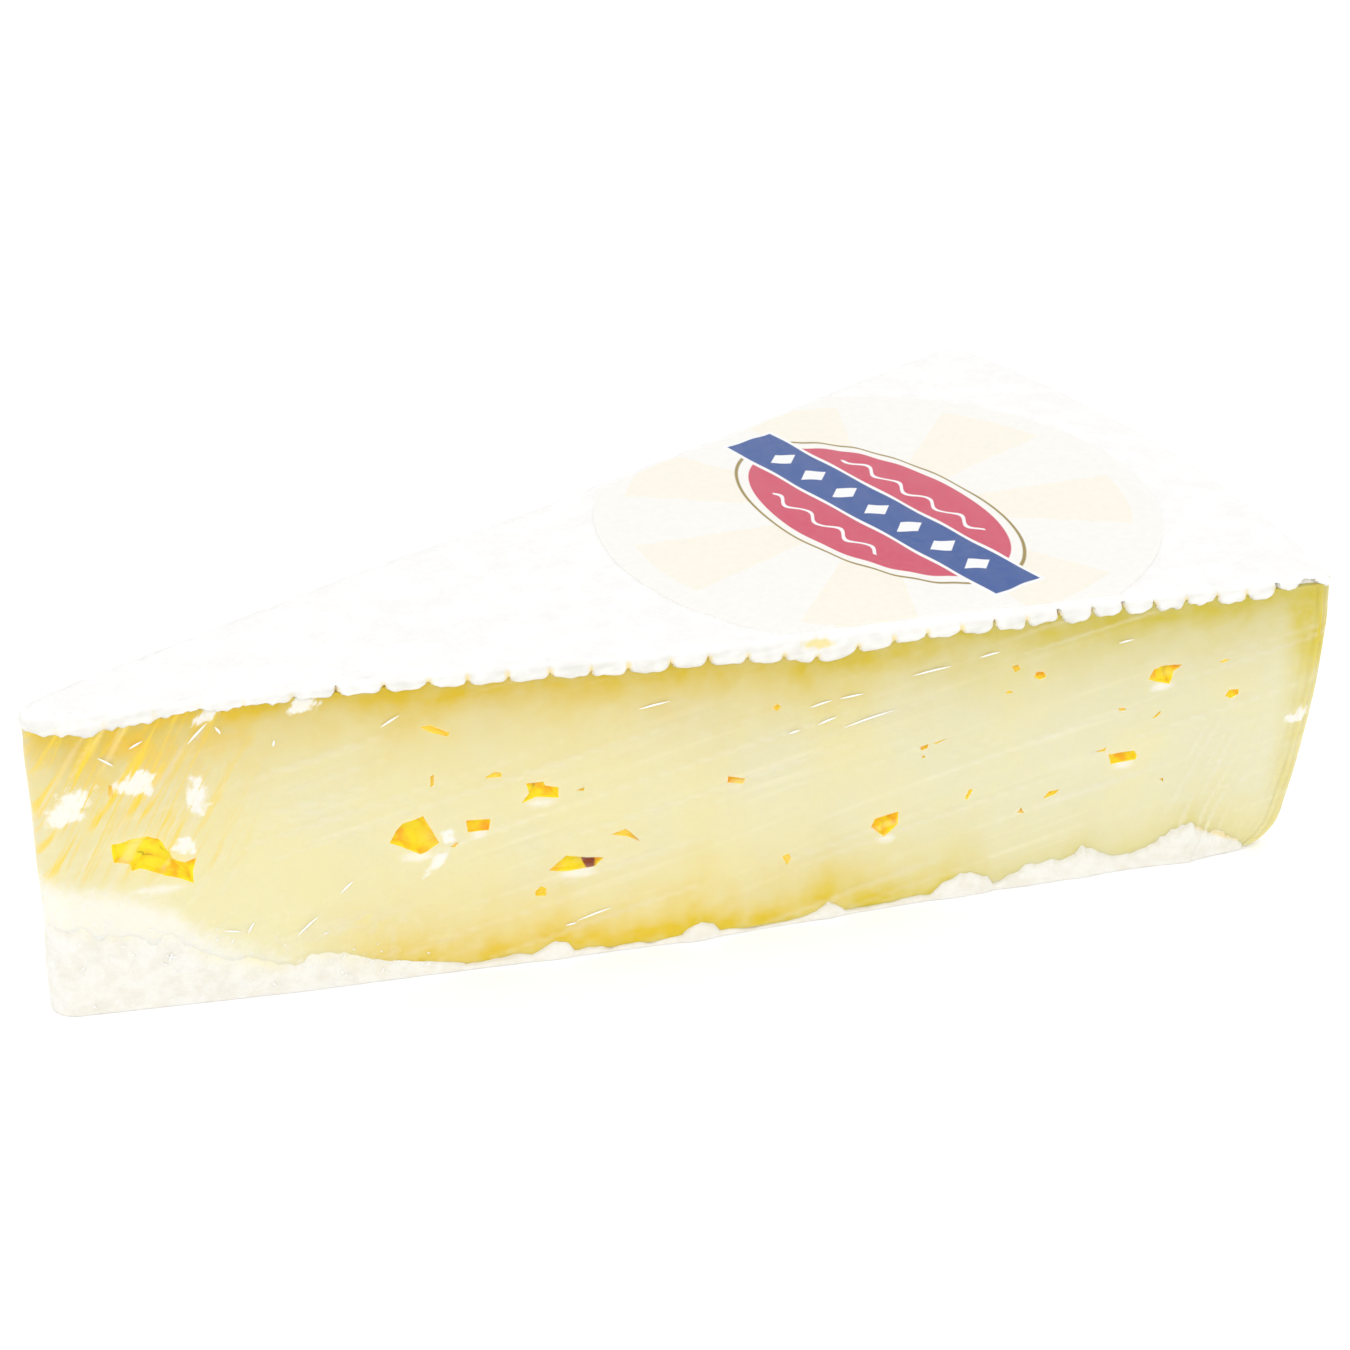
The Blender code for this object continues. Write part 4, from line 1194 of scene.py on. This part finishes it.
def rind_look(name, thin):
    """The white mould rind: fine down and beige shades, with gold in the notches of its edge and, on the top rind,
    painted shade down the lip's side.
    """
    look, tree, surface = new_look(name)
    where = places_in_mm(tree)
    mottle = grain(tree, where, 0.5 if thin else 0.28, 3, 0.6)
    shade = FOOT_SHADE if thin else RIND_SHADE
    base = blend(tree, fade(tree, mottle, 0.35, 0.62), shade, RIND_WHITE)
    if thin:
        base = blend(tree, 1.0, base, FOOT_TINT, "MULTIPLY")
        spots = fade(tree, grain(tree, where, 0.33, 3), 0.42, 0.7)
        through = maths(tree, "MULTIPLY", painted(tree, "thin"), maths(tree, "ADD", spots, 0.75), True)
        base = blend(tree, through, base, SMEAR_THROUGH)
    else:
        # Painted shade: the lip's side, below the top, is greyer than the top
        base = blend(tree, maths(tree, "MULTIPLY", painted(tree, "under"), 0.8), base, RIND_SIDE_SHADE)
        base = blend(tree, maths(tree, "MULTIPLY", painted(tree, "stain"), 0.8), base, STAIN_GOLD)
    base = blend(tree, maths(tree, "MULTIPLY", painted(tree, "notch"), 0.9), base, NOTCH_GOLD)
    down = maths(tree, "ADD", grain(tree, where, 2.6, 3), maths(tree, "MULTIPLY", grain(tree, where, 0.7, 2), 1.2))
    normal = bump(tree, down, 0.5, 0.16)
    skin(tree, surface, base, 0.62, normal, Specular_IOR_Level=0.3)
    return look


def film_look():
    """Clear film: a see-through sheet with gloss, more where it is stretched or seen along."""
    look, tree, surface = new_look("film")
    gloss = node(tree, "ShaderNodeBsdfGlossy", {"Color": (1, 1, 1, 1), "Roughness": 0.07})
    clear = node(tree, "ShaderNodeBsdfTransparent", {"Color": (1, 1, 1, 1)})
    facing = node(tree, "ShaderNodeLayerWeight", {"Blend": 0.5}).outputs["Facing"]
    edge = maths(tree, "POWER", facing, 5.0)
    share = maths(tree, "ADD", maths(tree, "MULTIPLY", edge, 0.8), FILM_GLOSS)
    share = maths(tree, "ADD", share, painted(tree, "haze"), True)
    mixed = node(tree, "ShaderNodeMixShader", {0: share, 1: clear.outputs[0], 2: gloss.outputs[0]})
    tree.links.new(mixed.outputs[0], surface)
    return look


def fold_glint_look():
    """Doubled film, white where it is pinched together, and a painted highlight for the film's glints."""
    look, tree, surface = new_look("film_fold_glint")
    where = places_in_mm(tree)
    base = blend(tree, grain(tree, where, 2.0, 2), (1, 1, 1, 1), (0.95, 0.95, 0.93, 1))
    normal = bump(tree, grain(tree, where, 4.0, 2), 0.1, 0.05)
    skin(tree, surface, base, 0.25, normal, Alpha=0.9)
    return look


def shape_mask(tree, distance, edge=0.08):
    """1 where a distance inside a printed shape is above nothing, with a soft edge."""
    return fade(tree, distance, -edge, edge)


def inside_box(tree, x, y, half_x, half_y):
    """How far inside a box round the middle a place is."""
    across = maths(tree, "SUBTRACT", half_x, maths(tree, "ABSOLUTE", x))
    up = maths(tree, "SUBTRACT", half_y, maths(tree, "ABSOLUTE", y))
    return maths(tree, "MINIMUM", across, up)


def oval_radius(tree, x, y, half_x, half_y):
    """The distance from the middle in an oval's own measure, times its smaller half size."""
    a = maths(tree, "DIVIDE", x, half_x)
    b = maths(tree, "DIVIDE", y, half_y)
    square = maths(tree, "ADD", maths(tree, "MULTIPLY", a, a), maths(tree, "MULTIPLY", b, b))
    return maths(tree, "MULTIPLY", maths(tree, "SQRT", square), min(half_x, half_y))


def line_mask(tree, distance, at, width):
    """1 on a line at this distance."""
    away = maths(tree, "ABSOLUTE", maths(tree, "SUBTRACT", distance, at))
    return fade(tree, away, width / 2 + 0.06, width / 2 - 0.06)


def sticker_places(tree):
    """Places on the sticker in millimetres from its middle, turned with its print."""
    inputs = {
        "Vector": node(tree, "ShaderNodeTexCoord").outputs["Object"],
        "Location": (LABEL_MIDDLE * MM, 0, 0),
        "Rotation": (0, 0, PRINT_TURN),
        "Scale": (MM, MM, MM),
    }
    places = node(tree, "ShaderNodeMapping", inputs, vector_type="TEXTURE").outputs[0]
    split = node(tree, "ShaderNodeSeparateXYZ", {0: places})
    return split.outputs[0], split.outputs[1]


def print_rays(tree, x, y):
    """Beige rays on cream, with a cream rim."""
    turn = maths(tree, "MULTIPLY", maths(tree, "ARCTAN2", y, x), PRINT_RAYS)
    rays = maths(tree, "SINE", maths(tree, "ADD", turn, PRINT_RAY_START))
    base = blend(tree, fade(tree, rays, -0.04, 0.04), PRINT_CREAM, PRINT_BEIGE)
    beyond = maths(tree, "SUBTRACT", oval_radius(tree, x, y, 1, 1), PRINT_RAY_REACH)
    return blend(tree, shape_mask(tree, beyond), base, PRINT_CREAM)


def print_oval(tree, x, y, base):
    """A rose oval in a gold ring, with white waves."""
    oval = oval_radius(tree, x, y, *PRINT_OVAL)
    base = blend(tree, fade(tree, oval, PRINT_OVAL[1] + 0.06, PRINT_OVAL[1] - 0.06), base, PRINT_CREAM)
    base = blend(tree, line_mask(tree, oval, PRINT_RING, PRINT_RING_WIDTH), base, PRINT_GOLD)
    base = blend(tree, fade(tree, oval, PRINT_INNER + 0.06, PRINT_INNER - 0.06), base, PRINT_ROSE)
    waves = maths(tree, "SINE", maths(tree, "MULTIPLY", x, PRINT_WAVE_PACE))
    curve = maths(tree, "SUBTRACT", y, maths(tree, "MULTIPLY", waves, PRINT_WAVE_HEIGHT))
    in_oval = fade(tree, oval, PRINT_WAVE_REACH + 0.1, PRINT_WAVE_REACH - 0.1)
    for level in PRINT_WAVE_LEVELS:
        line = line_mask(tree, curve, level, PRINT_WAVE_WIDTH)
        base = blend(tree, maths(tree, "MULTIPLY", line, in_oval), base, PRINT_WHITE)
    return base


def print_band(tree, x, y, base):
    """A blue band with a white edge and a row of white diamonds."""
    half_x, half_y = PRINT_BAND
    edge = inside_box(tree, x, y, half_x + PRINT_BAND_EDGE, half_y + PRINT_BAND_EDGE)
    base = blend(tree, shape_mask(tree, edge), base, PRINT_WHITE)
    base = blend(tree, shape_mask(tree, inside_box(tree, x, y, half_x, half_y)), base, PRINT_BLUE)
    half_pitch = PRINT_DIAMOND_PITCH / 2
    cell = maths(tree, "FLOORED_MODULO", maths(tree, "ADD", x, half_pitch), PRINT_DIAMOND_PITCH)
    across = maths(tree, "ABSOLUTE", maths(tree, "SUBTRACT", cell, half_pitch))
    diamond = maths(tree, "ADD", across, maths(tree, "MULTIPLY", maths(tree, "ABSOLUTE", y), 0.8))
    in_row = shape_mask(tree, inside_box(tree, x, y, *PRINT_DIAMOND_AREA))
    return blend(tree, maths(tree, "MULTIPLY", fade(tree, diamond, 1.62, 1.5), in_row), base, PRINT_WHITE)


def print_look():
    """The sticker's plain print: rays on cream, a rose oval with a blue band, and gold rings."""
    look, tree, surface = new_look("sticker_print")
    x, y = sticker_places(tree)
    base = print_band(tree, x, y, print_oval(tree, x, y, print_rays(tree, x, y)))
    fibre = grain(tree, places_in_mm(tree), 1.2, 2)
    base = blend(tree, fade(tree, fibre, 0.3, 0.7, 0, 0.05), base, (0.5, 0.48, 0.42, 1))
    normal = bump(tree, fibre, 0.15, 0.04)
    skin(tree, surface, base, 0.42, normal, Specular_IOR_Level=0.12)
    return look


def floor_look():
    """A plain pale floor with a faint tone of its own."""
    look, tree, surface = new_look("floor")
    where = node(tree, "ShaderNodeTexCoord").outputs["Object"]
    base = blend(tree, grain(tree, where, 3.0, 1), (0.98, 0.98, 0.98, 1), (0.99, 0.99, 0.99, 1))
    shader = node(tree, "ShaderNodeBsdfDiffuse", {"Color": base})
    lift = node(tree, "ShaderNodeEmission", {"Color": (1, 1, 1, 1), "Strength": FLOOR_LIFT})
    both = node(tree, "ShaderNodeAddShader", {0: shader.outputs[0], 1: lift.outputs[0]})
    tree.links.new(both.outputs[0], surface)
    return look


def make_floor():
    """The floor that the wedge lies on."""
    shape = bmesh.new()
    bmesh.ops.create_circle(shape, cap_ends=True, segments=64, radius=FLOOR_RADIUS)
    floor = add_object("floor", mesh_of(shape, "floor"))
    floor.location = (0, 0, -FLOOR_DROP)
    floor.data.materials.append(floor_look())


def make_area_light(name, place, size, power):
    """A soft light that looks at the wedge."""
    data = bpy.data.lights.new(name, "AREA")
    data.shape = "RECTANGLE"
    data.size, data.size_y = size
    data.energy = power
    light = add_object(name, data)
    light.location = place
    light.rotation_mode = "QUATERNION"
    light.rotation_quaternion = Vector(place).to_track_quat("Z", "Y")


def make_lights():
    """A white dome all round and three small lights that the film catches."""
    world = bpy.data.worlds.new("studio")
    world.use_nodes = True
    background = world.node_tree.nodes["Background"]
    background.inputs["Color"].default_value = (1, 1, 1, 1)
    background.inputs["Strength"].default_value = WORLD_STRENGTH
    bpy.context.scene.world = world
    for light in LIGHTS:
        make_area_light(*light)


def make_camera():
    """A camera at the photograph's place, found from the wedge's outline."""
    data = bpy.data.cameras.new("camera")
    data.sensor_width = CAMERA_SENSOR
    data.lens = CAMERA_LENS
    camera = add_object("camera", data)
    yaw, pitch, roll = (math.radians(angle) for angle in CAMERA_TURN)
    ahead = Vector((math.cos(pitch) * math.sin(yaw), math.cos(pitch) * math.cos(yaw), -math.sin(pitch)))
    level_right = Vector((math.cos(yaw), -math.sin(yaw), 0))
    level_up = level_right.cross(ahead)
    right = level_right * math.cos(roll) + level_up * math.sin(roll)
    up = right.cross(ahead)
    turned = Matrix((right, up, -ahead)).transposed().to_4x4()
    turned.translation = CAMERA_PLACE
    camera.matrix_world = turned
    data.clip_start = 0.01
    bpy.context.scene.camera = camera


# Colours as they show on a screen
PASTE_WARM = colour(229, 222, 176)
PASTE_COOL = colour(224, 220, 188)
PASTE_LIGHT = colour(238, 233, 206)
PASTE_GOLD = colour(223, 190, 14)
PASTE_ORANGE = colour(238, 192, 52)
PASTE_STREAK = colour(236, 206, 58)
PALE_AND_HIGHLIGHT_WHITE = colour(238, 236, 229)
SMEAR_THROUGH = colour(236, 230, 196)
EYE_YELLOW = colour(255, 232, 10)
EYE_ORANGE = colour(254, 196, 6)
EYE_BROWN = colour(156, 70, 16)
RIND_WHITE = colour(246, 246, 245)
RIND_SHADE = colour(242, 241, 239)
FOOT_TINT = colour(244, 242, 236)
FOOT_SHADE = colour(240, 238, 232)
RIND_SIDE_SHADE = colour(216, 214, 204)
NOTCH_GOLD = colour(236, 214, 140)
STAIN_GOLD = colour(232, 214, 128)
PASTE_OLIVE = colour(212, 194, 60)
EYE_FAINT = colour(250, 222, 84)
PRINT_CREAM = colour(243, 241, 236)
PRINT_BEIGE = colour(243, 238, 224)
PRINT_GOLD = colour(150, 128, 52)
PRINT_ROSE = colour(204, 62, 94)
PRINT_BLUE = colour(20, 74, 148)
PRINT_WHITE = colour(244, 244, 244)


def main():
    """Make every piece and the studio round them."""
    scene = bpy.context.scene
    scene.view_settings.view_transform = "Standard"
    make_camera()
    make_paste(paste_look(), eye_look())
    make_top_rind(rind_look("rind", False))
    make_foot_rind(rind_look("foot_rind", True))
    make_film_folds(fold_glint_look(), make_film(film_look()))
    make_label(print_look())
    make_floor()
    make_lights()


main()
